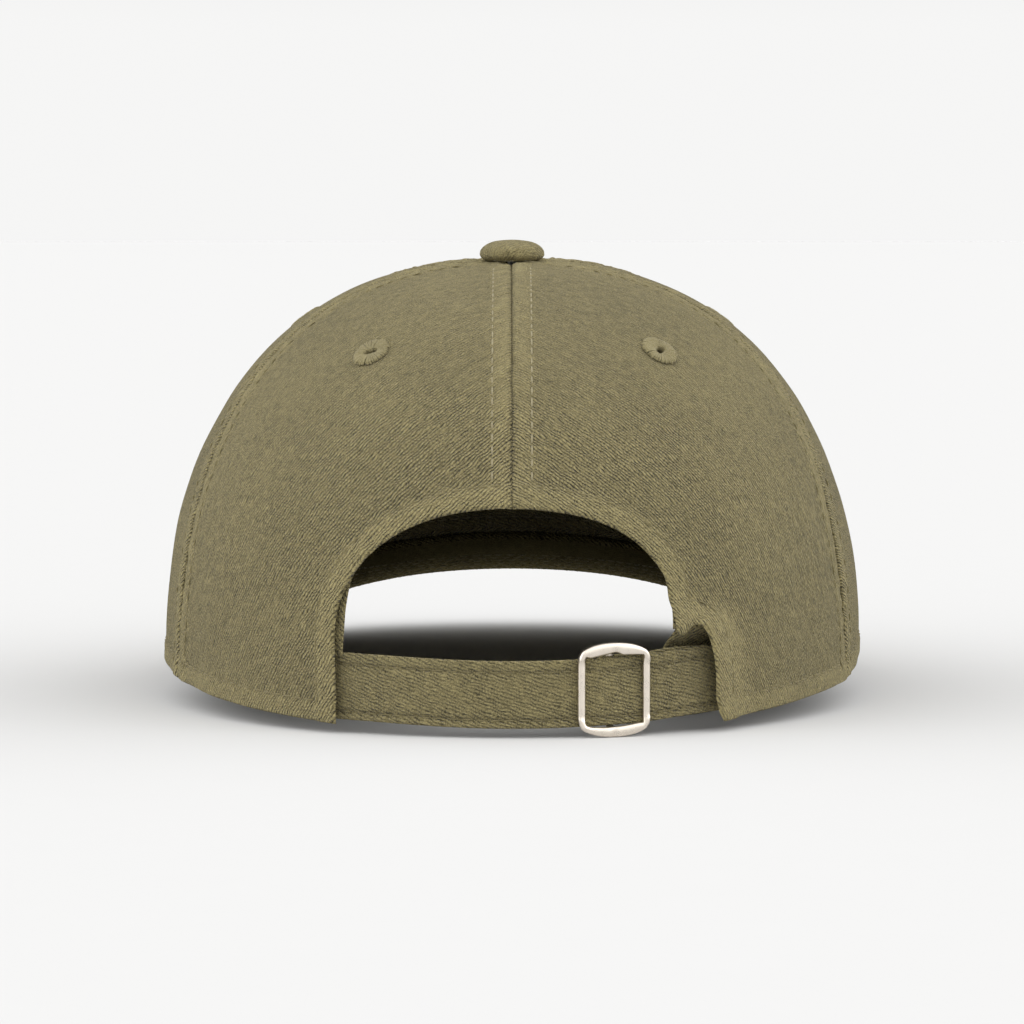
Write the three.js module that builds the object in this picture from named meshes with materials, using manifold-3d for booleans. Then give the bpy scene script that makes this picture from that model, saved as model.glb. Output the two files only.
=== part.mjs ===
// A six-panel cotton cap with a curved visor, a rear opening and a tuck-in strap with a slide buckle.
// Millimetres, +Z up. The visor points along -Y, the rear opening along +Y, the wearer's left is +X.
import * as THREE from "three";
import { mergeVertices } from "three/addons/utils/BufferGeometryUtils.js";
import Module from "manifold-3d";

const wasm = await Module();
wasm.setup();

const rad = THREE.MathUtils.degToRad;
const { lerp, smoothstep } = THREE.MathUtils;

// Crown: a superellipse dome that leans back on its rear edge.
const CROWN_HALF_WIDTH = 86.5;
const CROWN_HALF_LENGTH = 100;
const CROWN_RISE = 97;
const PROFILE_POWER = 2.3;
const PLAN_POWER = 2.03;
const CROWN_LEAN = rad(5.2);
const TOP_HOLE_RADIUS = 4.5;
const SEAM_GAP = 0.15;

// The front edge of the crown rises in an arch over the visor.
const FRONT_ARCH_RISE = 15.4;
const FRONT_ARCH_START = rad(75);

// Seams, as angles around the crown from the centre back.
const BACK_SEAM = rad(68);
const FRONT_SEAM = rad(120);
const SEAM_SWEEPS = new Map([[BACK_SEAM, rad(15)], [FRONT_SEAM, rad(9)]]);
const SWEEP_POWER = 2.4;

// Depth of each layer below the outer surface: [outer face, inner face].
const PANEL_LAYER = [0, 0.9];
const TAPE_LAYER = [1.7, 2.2];
const PADDING_LAYER = [2.8, 3.3];
const SWEATBAND_LAYER = [3.8, 4.6];
const SWEATBAND_REAR_EASE = 1.5;
const SWEATBAND_POCKET_EASE = 2.2;
const SWEATBAND_HEIGHT = 31;
const SWEATBAND_END = rad(31);

const TAPE_WIDTH = 12;
const TAPE_TOP_RADIUS = 17;

// Eyelets: one in each panel.
const EYELET_HEIGHT = 80.8;
const EYELET_ANGLES = { back: rad(38.7), side: rad(108), front: rad(153) };
const EYELET_RADIUS = 4.65;
const EYELET_HOLE_RADIUS = 1.2;
const EYELET_BARREL_RADIUS = 2.6;

// Rear opening: a superellipse arch over a strap, with a pocket mouth at the wearer's right.
const ARCH_HALF_WIDTH = 38.9;
const ARCH_SPRING = 20;
const ARCH_RISE = 30.8;
const ARCH_POWER = 2.33;
const ARCH_FOOT_HALF_WIDTH = 41;
const POCKET_MOUTH = 45.8;
const FACING_WIDTH = 7;
const FACING_FOOT = 22;

// Straps and buckle: all bent round one upright axis inside the crown.
const STRAP_AXIS_Y = 20;
const STRAP_RADIUS = 78.1;
const STRAP_THICKNESS = 1;
const STRAP_BOTTOM = 1.9;
const STRAP_WIDTH = 15.5;
const STRAP_SEWN_END = rad(-41);
const STRAP_TAIL_END = rad(52);
const SHORT_STRAP_END = rad(56);
const BUCKLE_ANGLE = rad(17.2);
const BUCKLE_CENTRE_HEIGHT = 9.7;
const BUCKLE_HALF_WIDTH = 8.65;
const BUCKLE_HALF_HEIGHT = 10.9;
const BUCKLE_WINDOW_HALF_WIDTH = 6.9;
const BUCKLE_WINDOW_HALF_HEIGHT = 8.1;
const BUCKLE_THICKNESS = 1.6;
const BUCKLE_BACK = 78.05;
const BAR_THICKNESS = 1.2;
const BAR_HALF_WIDTH = 1;
const BAR_FRONT = 75.9;
const GAP = 0.3;

// Visor: a crescent sprung from the front edge of the crown.
const VISOR_SPREAD = rad(72);
const VISOR_CORNER = [84.5, -31];
const VISOR_SIDE = [95, -98];
const VISOR_SHOULDER = [76, -168];
const VISOR_FRONT = -168;
const VISOR_ROOT_HEIGHT = 33.5;
const VISOR_SLOPE = 0.211;
const VISOR_BEND = 0.0026;
const VISOR_EDGE_BEND = 2.8e-7;
const VISOR_COVER_THICKNESS = 0.8;
const VISOR_BOARD_THICKNESS = 1.8;
const VISOR_GAP = 0.45;
const VISOR_BOARD_MARGIN = 0.045;

const BUTTON_RADIUS = 7.9;
const BUTTON_HEIGHT = 5.4;
const POST_RADIUS = 1.1;
const WASHER_RADIUS = 5.5;

const TWILL = { color: 0x7d745a, roughness: 0.95, metalness: 0 };
const TAPE = { color: 0x6f674c, roughness: 0.9, metalness: 0 };
const THREAD = { color: 0x8f8666, roughness: 0.8, metalness: 0 };
const BOARD = { color: 0x3a3a38, roughness: 0.6, metalness: 0 };
const NICKEL = { color: 0xc9beb0, roughness: 0.3, metalness: 1 };
const FOAM = { color: 0xd8d4c8, roughness: 0.9, metalness: 0 };

const cap = new THREE.Group();
cap.name = "baseball_cap";

function addMesh(parent, name, geometry, finish) {
  const mesh = new THREE.Mesh(geometry, new THREE.MeshStandardMaterial(finish));
  mesh.name = name;
  parent.add(mesh);
  return mesh;
}

// ---- closed solids ----

// Turns the triangles round where a solid's faces point inwards.
function faceOutwards(positions, index) {
  let volume = 0;
  const [a, b, c] = [new THREE.Vector3(), new THREE.Vector3(), new THREE.Vector3()];
  for (let i = 0; i < index.length; i += 3) {
    a.fromArray(positions, 3 * index[i]);
    b.fromArray(positions, 3 * index[i + 1]);
    c.fromArray(positions, 3 * index[i + 2]);
    volume += a.dot(b.cross(c));
  }
  return volume < 0 ? index.reverse() : index;
}

// A sheet with thickness: point(u, v, depth) gives its two faces, and four strips close its edges.
function sheetSolid(point, columns, rows, [outer, inner]) {
  const positions = [];
  const index = [];
  const at = (face, i, j) => face * (columns + 1) * (rows + 1) + j * (columns + 1) + i;
  const quad = (a, b, c, d) => index.push(a, b, c, a, c, d);
  for (const depth of [outer, inner])
    for (let j = 0; j <= rows; j++)
      for (let i = 0; i <= columns; i++)
        positions.push(...point(i / columns, j / rows, depth).toArray());
  for (let j = 0; j < rows; j++)
    for (let i = 0; i < columns; i++) {
      quad(at(0, i, j), at(0, i + 1, j), at(0, i + 1, j + 1), at(0, i, j + 1));
      quad(at(1, i, j), at(1, i, j + 1), at(1, i + 1, j + 1), at(1, i + 1, j));
    }
  for (let i = 0; i < columns; i++) {
    quad(at(0, i, 0), at(1, i, 0), at(1, i + 1, 0), at(0, i + 1, 0));
    quad(at(0, i, rows), at(0, i + 1, rows), at(1, i + 1, rows), at(1, i, rows));
  }
  for (let j = 0; j < rows; j++) {
    quad(at(0, 0, j), at(0, 0, j + 1), at(1, 0, j + 1), at(1, 0, j));
    quad(at(0, columns, j), at(1, columns, j), at(1, columns, j + 1), at(0, columns, j + 1));
  }
  const geometry = new THREE.BufferGeometry();
  geometry.setAttribute("position", new THREE.Float32BufferAttribute(positions, 3));
  geometry.setIndex(faceOutwards(positions, index));
  return geometry;
}

function toManifold(geometry) {
  const bare = geometry.clone();
  bare.deleteAttribute("normal");
  bare.deleteAttribute("uv");
  const merged = mergeVertices(bare, 1e-4);
  const vertProperties = merged.attributes.position.array;
  const triVerts = new Uint32Array(merged.index.array);
  return new wasm.Manifold(new wasm.Mesh({ numProp: 3, vertProperties, triVerts }));
}

function fromManifold(solid) {
  const mesh = solid.getMesh();
  const geometry = new THREE.BufferGeometry();
  geometry.setAttribute("position", new THREE.BufferAttribute(mesh.vertProperties, 3));
  geometry.setIndex(new THREE.BufferAttribute(mesh.triVerts, 1));
  return geometry;
}

function cut(geometry, ...tools) {
  const solid = tools.reduce((left, tool) => left.subtract(toManifold(tool)), toManifold(geometry));
  return fromManifold(solid);
}

// ---- crown surface ----

// Height of the crown's lower edge above its base plane, at an angle round the crown.
function edgeRise(angle) {
  const fromBack = Math.acos(Math.cos(angle));
  const share = Math.max(0, (fromBack - FRONT_ARCH_START) / (Math.PI - FRONT_ARCH_START));
  return (FRONT_ARCH_RISE * (1 - Math.cos(Math.PI * share))) / 2;
}

// The climb angle, 0 at the base and a quarter turn at the top, that reaches a height.
const climbTo = (height) => Math.asin((height / CROWN_RISE) ** (PROFILE_POWER / 2));
const radiusShare = (climb) => Math.cos(climb) ** (2 / PROFILE_POWER);
const TOP_CLIMB = Math.acos((TOP_HOLE_RADIUS / CROWN_HALF_WIDTH) ** (PROFILE_POWER / 2));

function lean({ x, y, z }) {
  const fromRear = y - CROWN_HALF_LENGTH;
  const leaned = fromRear * Math.cos(CROWN_LEAN) + z * Math.sin(CROWN_LEAN);
  const height = z * Math.cos(CROWN_LEAN) - fromRear * Math.sin(CROWN_LEAN);
  return new THREE.Vector3(x, leaned + CROWN_HALF_LENGTH, height);
}

function crownPoint(angle, climb, depth) {
  const [s, c] = [Math.sin(angle), Math.cos(angle)];
  const plan = (Math.abs(s) ** PLAN_POWER + Math.abs(c) ** PLAN_POWER) ** (-1 / PLAN_POWER);
  const share = radiusShare(climb) * plan;
  const x = (CROWN_HALF_WIDTH - depth) * share * s;
  const y = (CROWN_HALF_LENGTH - depth) * share * c;
  const z = (CROWN_RISE - depth) * Math.sin(climb) ** (2 / PROFILE_POWER);
  return lean({ x, y, z });
}

function crownNormal(angle, climb) {
  const step = 1e-3;
  const along = crownPoint(angle + step, climb, 0).sub(crownPoint(angle - step, climb, 0));
  const up = crownPoint(angle, climb + step, 0).sub(crownPoint(angle, climb - step, 0));
  return up.cross(along).normalize();
}

// ---- panels, tapes, sweatband ----

// A seam's angle at a climb: the side seams sweep forward as they rise.
function seamAngle(base, climb) {
  const sweep = SEAM_SWEEPS.get(Math.abs(base)) ?? 0;
  const rise = Math.sin(climb) ** (2 / PROFILE_POWER);
  return base + Math.sign(base) * sweep * rise ** SWEEP_POWER;
}

function panelSolid(from, to) {
  const point = (u, v, depth) => {
    const climb = lerp(climbTo(edgeRise(lerp(from, to, u))), TOP_CLIMB, v);
    const margin = (Math.sign(to - from) * SEAM_GAP) / (CROWN_HALF_WIDTH * radiusShare(climb));
    const [start, end] = [seamAngle(from, climb) + margin, seamAngle(to, climb) - margin];
    return crownPoint(lerp(start, end, u), climb, depth);
  };
  return sheetSolid(point, 8, 14, PANEL_LAYER);
}

// The rear opening's outline, seen along Y, with the pocket mouth at -X. grow widens it all round.
function archShape(grow, foot) {
  const [width, rise] = [ARCH_HALF_WIDTH + grow, ARCH_RISE + grow];
  const steps = 24;
  const shape = new THREE.Shape();
  shape.moveTo(ARCH_FOOT_HALF_WIDTH + grow, foot);
  for (let i = 0; i <= steps; i++) {
    const turn = (Math.PI * i) / steps;
    const x = width * Math.sign(Math.cos(turn)) * Math.abs(Math.cos(turn)) ** (2 / ARCH_POWER);
    shape.lineTo(x, ARCH_SPRING + rise * Math.sin(turn) ** (2 / ARCH_POWER));
  }
  shape.lineTo(-ARCH_FOOT_HALF_WIDTH - grow, foot);
  return shape;
}

function pocketShape() {
  const shape = new THREE.Shape();
  shape.moveTo(0, -10);
  shape.lineTo(0, ARCH_SPRING + 9);
  shape.lineTo(-ARCH_HALF_WIDTH + 0.6, ARCH_SPRING + 9);
  shape.bezierCurveTo(-ARCH_HALF_WIDTH, 24, -POCKET_MOUTH, 22, -POCKET_MOUTH, 13);
  shape.lineTo(-POCKET_MOUTH + 0.8, -10);
  return shape;
}

// A prism along Y through the rear wall of the crown.
function rearPrism(shape) {
  const prism = new THREE.ExtrudeGeometry(shape, { depth: 70, bevelEnabled: false, curveSegments: 8 });
  return prism.rotateX(Math.PI / 2).translate(0, 130, 0);
}

function eyeletFrame(angle) {
  const climb = climbTo(EYELET_HEIGHT);
  const normal = crownNormal(angle, climb);
  const turn = new THREE.Quaternion().setFromUnitVectors(new THREE.Vector3(0, 0, 1), normal);
  return { position: crownPoint(angle, climb, 0), turn };
}

function eyeletHole(angle) {
  const { position, turn } = eyeletFrame(angle);
  const drill = new THREE.CylinderGeometry(EYELET_BARREL_RADIUS + GAP, EYELET_BARREL_RADIUS + GAP, 6, 16);
  return drill.rotateX(Math.PI / 2).applyQuaternion(turn).translate(...position.toArray());
}

function addPanel(name, from, to, eyeletAngle, openings = []) {
  const solid = cut(panelSolid(from, to), eyeletHole(eyeletAngle), ...openings);
  addMesh(cap, `${name}_panel`, solid, TWILL);
}

// An embroidered eyelet: a barrel through the panel under a domed rim.
function addEyelet(name, angle) {
  const { position, turn } = eyeletFrame(angle);
  const profile = [
    [EYELET_HOLE_RADIUS, -1.2],
    [EYELET_BARREL_RADIUS, -1.2],
    [EYELET_BARREL_RADIUS, 0.25],
    [EYELET_RADIUS, 0.25],
    [EYELET_RADIUS - 0.5, 0.7],
    [EYELET_HOLE_RADIUS + 0.5, 0.8],
    [EYELET_HOLE_RADIUS, 0.4],
    [EYELET_HOLE_RADIUS, -1.2],
  ].map(([r, z]) => new THREE.Vector2(r, z));
  const ring = new THREE.LatheGeometry(profile, 20).rotateX(Math.PI / 2);
  const mesh = addMesh(cap, `${name}_eyelet`, ring, THREAD);
  mesh.position.copy(position);
  mesh.quaternion.copy(turn);
}

function addCrown() {
  for (const [side, sign] of [["left", 1], ["right", -1]]) {
    const arch = rearPrism(archShape(0, -10));
    const openings = sign > 0 ? [arch] : [arch, rearPrism(pocketShape())];
    const seams = [0, BACK_SEAM, FRONT_SEAM, Math.PI].map((angle) => sign * angle);
    addPanel(`back_${side}`, seams[0], seams[1], sign * EYELET_ANGLES.back, openings);
    addPanel(`side_${side}`, seams[1], seams[2], sign * EYELET_ANGLES.side);
    addPanel(`front_${side}`, seams[2], seams[3], sign * EYELET_ANGLES.front);
    for (const [row, angle] of Object.entries(EYELET_ANGLES)) addEyelet(`${row}_${side}`, sign * angle);
  }
}

// A seam tape along one seam, from above the crown's edge to near the top.
function seamTape(angle) {
  const bottom = climbTo(edgeRise(angle) + 3);
  const top = Math.acos((TAPE_TOP_RADIUS / CROWN_HALF_WIDTH) ** (PROFILE_POWER / 2));
  const point = (u, v, depth) => {
    const climb = lerp(bottom, top, v);
    const spread = TAPE_WIDTH / (CROWN_HALF_WIDTH * radiusShare(climb));
    return crownPoint(seamAngle(angle, climb) + (u - 0.5) * spread, climb, depth);
  };
  return sheetSolid(point, 2, 12, TAPE_LAYER);
}

// The centre tape runs from the front edge over the top to the rear opening.
function centreTape() {
  const rear = climbTo(ARCH_SPRING + ARCH_RISE + FACING_WIDTH + 2);
  const front = Math.PI - climbTo(FRONT_ARCH_RISE + 3);
  const point = (u, v, depth) => {
    const climb = lerp(rear, front, v);
    const forward = Math.sign(Math.cos(climb)) * Math.abs(Math.cos(climb)) ** (2 / PROFILE_POWER);
    const y = (CROWN_HALF_LENGTH - depth) * forward;
    const z = (CROWN_RISE - depth) * Math.sin(climb) ** (2 / PROFILE_POWER);
    return lean({ x: (u - 0.5) * TAPE_WIDTH, y, z });
  };
  const post = new THREE.CylinderGeometry(POST_RADIUS + GAP, POST_RADIUS + GAP, 20, 12);
  post.rotateX(Math.PI / 2 - CROWN_LEAN).translate(...crownPoint(0, Math.PI / 2, 0).toArray());
  return cut(sheetSolid(point, 2, 26, TAPE_LAYER), post);
}

function addTapes() {
  addMesh(cap, "centre_seam_tape", centreTape(), TAPE);
  for (const [side, sign] of [["left", 1], ["right", -1]]) {
    addMesh(cap, `back_${side}_seam_tape`, seamTape(sign * BACK_SEAM), TAPE);
    addMesh(cap, `front_${side}_seam_tape`, seamTape(sign * FRONT_SEAM), TAPE);
  }
}

// Extra depth that the sweatband takes behind the straps and, at -X, behind the pocket.
function sweatbandEase(angle) {
  const fromBack = Math.acos(Math.cos(angle));
  const rear = SWEATBAND_REAR_EASE * (1 - smoothstep(fromBack, rad(55), rad(80)));
  const pocket = SWEATBAND_POCKET_EASE * (1 - smoothstep(fromBack, rad(66), rad(88)));
  return rear + (Math.sin(angle) < 0 ? pocket * smoothstep(fromBack, rad(29), rad(40)) : 0);
}

function bandSolid(from, to, bottom, height, columns, layer, ease) {
  const point = (u, v, depth) => {
    const angle = lerp(from, to, u);
    const climb = climbTo(edgeRise(angle) + bottom + v * height);
    return crownPoint(angle, climb, depth + ease(angle));
  };
  return sheetSolid(point, columns, 3, layer);
}

function addSweatband() {
  const full = 2 * Math.PI;
  const cover = bandSolid(SWEATBAND_END, full - SWEATBAND_END, 0.8, SWEATBAND_HEIGHT, 50,
    SWEATBAND_LAYER, sweatbandEase);
  addMesh(cap, "sweatband_cover", cover, TWILL);
  const padding = bandSolid(rad(92), full - rad(92), 2, SWEATBAND_HEIGHT - 4, 30, PADDING_LAYER, () => 0);
  addMesh(cap, "sweatband_padding", padding, FOAM);
}

// The facing strip sewn round the inside of the rear opening.
function addArchFacing() {
  const point = (u, v, depth) =>
    crownPoint(lerp(rad(-42), rad(42), u), climbTo(lerp(FACING_FOOT, 68, v)), depth);
  const wall = toManifold(sheetSolid(point, 14, 8, TAPE_LAYER));
  const outline = toManifold(rearPrism(archShape(FACING_WIDTH, 0)));
  const hole = toManifold(rearPrism(archShape(-0.8, 0)));
  addMesh(cap, "rear_arch_facing", fromManifold(wall.intersect(outline).subtract(hole)), TAPE);
}

// ---- button ----

function latheSolid(points, segments) {
  const profile = points.map(([r, z]) => new THREE.Vector2(r, z));
  return new THREE.LatheGeometry(profile, segments).rotateX(Math.PI / 2);
}

// A domed shell of revolution, open below, with its rim turned in under the edge.
function domeProfile(radius, foot, top, thickness, lip) {
  const steps = 6;
  const outer = [];
  const inner = [];
  for (let i = 0; i <= steps; i++) {
    const turn = (Math.PI / 2) * (i / steps);
    const [across, up] = [Math.cos(turn) ** 0.8, Math.sin(turn) ** 0.9];
    outer.push([radius * across, foot + thickness + (top - foot - thickness) * up]);
    inner.push([(radius - thickness) * across, foot + thickness + (top - foot - 2 * thickness) * up]);
  }
  outer[steps][0] = 0;
  inner[steps][0] = 0;
  const rim = [[radius - lip, foot + thickness], [radius - lip, foot], [radius - 0.2, foot]];
  return [...inner.reverse(), ...rim, ...outer];
}

function addButton() {
  const button = new THREE.Group();
  button.position.copy(crownPoint(0, Math.PI / 2, 0));
  button.rotation.x = -CROWN_LEAN;
  cap.add(button);
  const cover = domeProfile(BUTTON_RADIUS, 0.3, BUTTON_HEIGHT, 0.8, 2.4);
  addMesh(button, "button_cover", latheSolid(cover, 24), TWILL);
  const shell = domeProfile(BUTTON_RADIUS - 1.2, 1.4, BUTTON_HEIGHT - 1.1, 0.6, 1);
  addMesh(button, "button_shell", latheSolid(shell, 24), NICKEL);
  const post = new THREE.CylinderGeometry(POST_RADIUS, POST_RADIUS, 7.2, 12).rotateX(Math.PI / 2);
  addMesh(button, "button_post", post, NICKEL).position.z = -1;
  const washer = [[POST_RADIUS + GAP, -3.6], [WASHER_RADIUS, -3.6], [WASHER_RADIUS, -2.8],
    [POST_RADIUS + GAP, -2.8], [POST_RADIUS + GAP, -3.6]];
  addMesh(button, "button_washer", latheSolid(washer, 24), NICKEL);
}

// ---- visor ----

function visorHeight(x, y) {
  const drop = VISOR_BEND * x ** 2 + VISOR_EDGE_BEND * x ** 4;
  return VISOR_ROOT_HEIGHT + VISOR_SLOPE * (y + CROWN_HALF_LENGTH) - drop;
}

function visorRoot(across) {
  const angle = Math.PI - across * VISOR_SPREAD;
  return crownPoint(angle, climbTo(edgeRise(angle)), -0.5);
}

// The outer edge runs from the corner on the crown, round the side, to the centre front.
function visorEdge(across) {
  const curve = new THREE.CubicBezierCurve(new THREE.Vector2(...VISOR_CORNER),
    new THREE.Vector2(...VISOR_SIDE), new THREE.Vector2(...VISOR_SHOULDER), new THREE.Vector2(0, VISOR_FRONT));
  const { x, y } = curve.getPoint(1 - Math.abs(across));
  const corner = visorRoot(1).z - visorHeight(...VISOR_CORNER);
  return new THREE.Vector3(Math.sign(across) * x, y, visorHeight(x, y) + corner * across ** 4);
}

function visorMiddle(across, out) {
  return visorRoot(across).lerp(visorEdge(across), out);
}

function visorPoint(across, out, depth) {
  const step = 1e-3;
  const sideways = visorMiddle(across + step, out).sub(visorMiddle(across - step, out));
  const forward = visorMiddle(across, out + step).sub(visorMiddle(across, out - step));
  const normal = forward.cross(sideways).normalize();
  return visorMiddle(across, out).addScaledVector(normal, -depth);
}

function visorLayer(outer, thickness, margin) {
  const reach = 1 - margin;
  const point = (u, v, depth) => visorPoint(reach * lerp(-1, 1, u), lerp(margin, reach, v), depth);
  return sheetSolid(point, 26, 5, [outer, outer + thickness]);
}

function addVisor() {
  const board = VISOR_COVER_THICKNESS + VISOR_GAP;
  const under = board + VISOR_BOARD_THICKNESS + VISOR_GAP;
  addMesh(cap, "visor_upper_cover", visorLayer(0, VISOR_COVER_THICKNESS, 0), TWILL);
  addMesh(cap, "visor_board", visorLayer(board, VISOR_BOARD_THICKNESS, VISOR_BOARD_MARGIN), BOARD);
  addMesh(cap, "visor_under_cover", visorLayer(under, VISOR_COVER_THICKNESS, 0), TWILL);
}

// ---- straps and buckle ----

// A point in plan at an angle from the rear towards -X, and a distance from the strap axis.
const planPoint = (angle, radius) => new THREE.Vector2(-radius * Math.sin(angle), radius * Math.cos(angle));

function arcPoints(from, to, radius) {
  const steps = Math.ceil(Math.abs(to - from) / rad(3));
  return Array.from({ length: steps + 1 }, (_, i) => planPoint(lerp(from, to, i / steps), radius));
}

function uprightBand(outline, hole, bottom, height) {
  const shape = new THREE.Shape(outline);
  if (hole) shape.holes.push(new THREE.Path(hole));
  const band = new THREE.ExtrudeGeometry(shape, { depth: height, bevelEnabled: false });
  return band.translate(0, STRAP_AXIS_Y, bottom);
}

function addLongStrap() {
  const outline = [...arcPoints(STRAP_SEWN_END, STRAP_TAIL_END, STRAP_RADIUS),
    ...arcPoints(STRAP_TAIL_END, STRAP_SEWN_END, STRAP_RADIUS - STRAP_THICKNESS)];
  addMesh(cap, "long_strap", uprightBand(outline, null, STRAP_BOTTOM, STRAP_WIDTH), TWILL);
}

// The short strap loops round the buckle's bar and runs into the pocket behind the long strap.
function addShortStrap() {
  const front = STRAP_RADIUS - STRAP_THICKNESS - GAP;
  const back = BAR_FRONT - BAR_THICKNESS - 3 * GAP;
  const loop = BUCKLE_ANGLE - rad(1.6);
  const outline = [...arcPoints(loop, SHORT_STRAP_END, front),
    ...arcPoints(SHORT_STRAP_END, BUCKLE_ANGLE + rad(9), front - 1),
    ...arcPoints(BUCKLE_ANGLE + rad(3), loop, back)];
  const hole = [...arcPoints(BUCKLE_ANGLE - rad(1.1), BUCKLE_ANGLE + rad(2.2), BAR_FRONT + GAP),
    ...arcPoints(BUCKLE_ANGLE + rad(2.2), BUCKLE_ANGLE - rad(1.1), BAR_FRONT - BAR_THICKNESS - GAP)];
  const band = uprightBand(outline, hole, STRAP_BOTTOM + GAP, STRAP_WIDTH - 2 * GAP);
  addMesh(cap, "short_strap", band, TWILL);
}

// The frame's outline: straight sides under bowed top and bottom rails.
function buckleOutline() {
  const [w, h] = [BUCKLE_HALF_WIDTH, BUCKLE_HALF_HEIGHT];
  const shape = new THREE.Shape();
  shape.moveTo(w, -0.62 * h);
  shape.lineTo(w, 0.62 * h);
  shape.bezierCurveTo(w, 0.9 * h, 0.6 * w, h, 0, h);
  shape.bezierCurveTo(-0.6 * w, h, -w, 0.9 * h, -w, 0.62 * h);
  shape.lineTo(-w, -0.62 * h);
  shape.bezierCurveTo(-w, -0.9 * h, -0.6 * w, -h, 0, -h);
  shape.bezierCurveTo(0.6 * w, -h, w, -0.9 * h, w, -0.62 * h);
  const [ww, wh] = [BUCKLE_WINDOW_HALF_WIDTH, BUCKLE_WINDOW_HALF_HEIGHT];
  const window = new THREE.Path();
  window.moveTo(ww, -wh);
  window.lineTo(-ww, -wh);
  window.lineTo(-ww, wh);
  window.lineTo(ww, wh);
  window.closePath();
  shape.holes.push(window);
  return shape;
}

// The bar: an upright behind the straps, with an arm forward to the top and bottom rails.
function barSolid() {
  const reach = BUCKLE_BACK - GAP - (BAR_FRONT - BAR_THICKNESS);
  const armHeight = 1.6;
  const armOffset = BUCKLE_WINDOW_HALF_HEIGHT + GAP + armHeight / 2;
  const width = 2 * BAR_HALF_WIDTH;
  const upright = new THREE.BoxGeometry(width, BAR_THICKNESS, 2 * armOffset + armHeight);
  upright.translate(0, BAR_FRONT - BAR_THICKNESS / 2, 0);
  const arms = [-armOffset, armOffset].map((z) =>
    new THREE.BoxGeometry(width, reach, armHeight).translate(0, BUCKLE_BACK - GAP - reach / 2, z));
  return fromManifold(arms.reduce((solid, arm) => solid.add(toManifold(arm)), toManifold(upright)));
}

function addBuckle() {
  const buckle = new THREE.Group();
  buckle.position.set(0, STRAP_AXIS_Y, BUCKLE_CENTRE_HEIGHT);
  buckle.rotation.z = BUCKLE_ANGLE;
  cap.add(buckle);
  const options = { depth: BUCKLE_THICKNESS, bevelEnabled: false, curveSegments: 6 };
  const plate = new THREE.ExtrudeGeometry(buckleOutline(), options).rotateX(Math.PI / 2);
  plate.translate(0, BUCKLE_BACK + BUCKLE_THICKNESS, 0);
  addMesh(buckle, "buckle_frame", plate, NICKEL);
  addMesh(buckle, "buckle_bar", barSolid(), NICKEL);
}

addCrown();
addTapes();
addSweatband();
addArchFacing();
addButton();
addVisor();
addLongStrap();
addShortStrap();
addBuckle();

// The origin is under the middle of the whole cap, on the surface that it stands on.
const box = new THREE.Box3().setFromObject(cap, true);
const middle = box.getCenter(new THREE.Vector3());
cap.position.set(-middle.x, -middle.y, -box.min.z);

export default cap;
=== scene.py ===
import math

import bpy
import numpy as np
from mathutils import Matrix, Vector, geometry, noise


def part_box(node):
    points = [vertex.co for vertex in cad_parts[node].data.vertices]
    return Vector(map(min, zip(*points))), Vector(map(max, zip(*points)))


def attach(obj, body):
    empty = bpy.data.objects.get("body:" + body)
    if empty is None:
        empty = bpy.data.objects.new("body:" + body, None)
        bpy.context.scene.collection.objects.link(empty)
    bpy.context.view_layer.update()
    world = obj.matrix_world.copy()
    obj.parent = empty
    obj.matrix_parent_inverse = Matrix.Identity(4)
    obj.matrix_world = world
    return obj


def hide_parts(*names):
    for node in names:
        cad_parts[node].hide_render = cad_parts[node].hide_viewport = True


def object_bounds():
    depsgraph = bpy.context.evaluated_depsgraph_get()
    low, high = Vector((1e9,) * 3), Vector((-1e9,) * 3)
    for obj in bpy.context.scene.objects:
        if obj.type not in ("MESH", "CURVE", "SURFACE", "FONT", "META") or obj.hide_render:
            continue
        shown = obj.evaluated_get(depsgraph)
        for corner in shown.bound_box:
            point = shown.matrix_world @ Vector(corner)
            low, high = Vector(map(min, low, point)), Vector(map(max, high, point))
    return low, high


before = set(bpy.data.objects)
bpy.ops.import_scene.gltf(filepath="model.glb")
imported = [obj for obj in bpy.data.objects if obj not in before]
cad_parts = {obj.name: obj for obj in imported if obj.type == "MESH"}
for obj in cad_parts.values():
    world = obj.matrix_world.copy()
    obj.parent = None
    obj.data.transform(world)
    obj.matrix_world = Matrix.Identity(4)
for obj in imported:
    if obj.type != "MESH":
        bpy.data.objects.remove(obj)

CAD_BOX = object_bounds()

# Lengths are in millimetres until a mesh is made. The visor is along -Y, the wearer's left is +X.
MM = 0.001
TAU = 2 * math.pi

# The crown: a superellipse dome that leans back on its rear edge, as in the CAD model.
HALF_WIDTH, HALF_LENGTH, RISE = 86.5, 100.0, 97.0
PROFILE, PLAN = 2.3, 2.03
LEAN = math.radians(5.2)
TOP_RADIUS = 4.5
FRONT_RISE, FRONT_START = 15.4, math.radians(75)
BACK_SEAM, FRONT_SEAM = math.radians(68), math.radians(120)
SEAM_SWEEP = {0.0: 0.0, BACK_SEAM: math.radians(15), FRONT_SEAM: math.radians(9), math.pi: 0.0}

# The rear opening: an arch over a jog, a flare and a rounded corner where the strap pocket is.
ARCH_HALF_WIDTH, ARCH_SPRING, ARCH_RISE, ARCH_POWER = 38.9, 20.0, 30.8, 2.33
ARCH_FOOT, MOUTH = 40.3, 45.8

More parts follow.
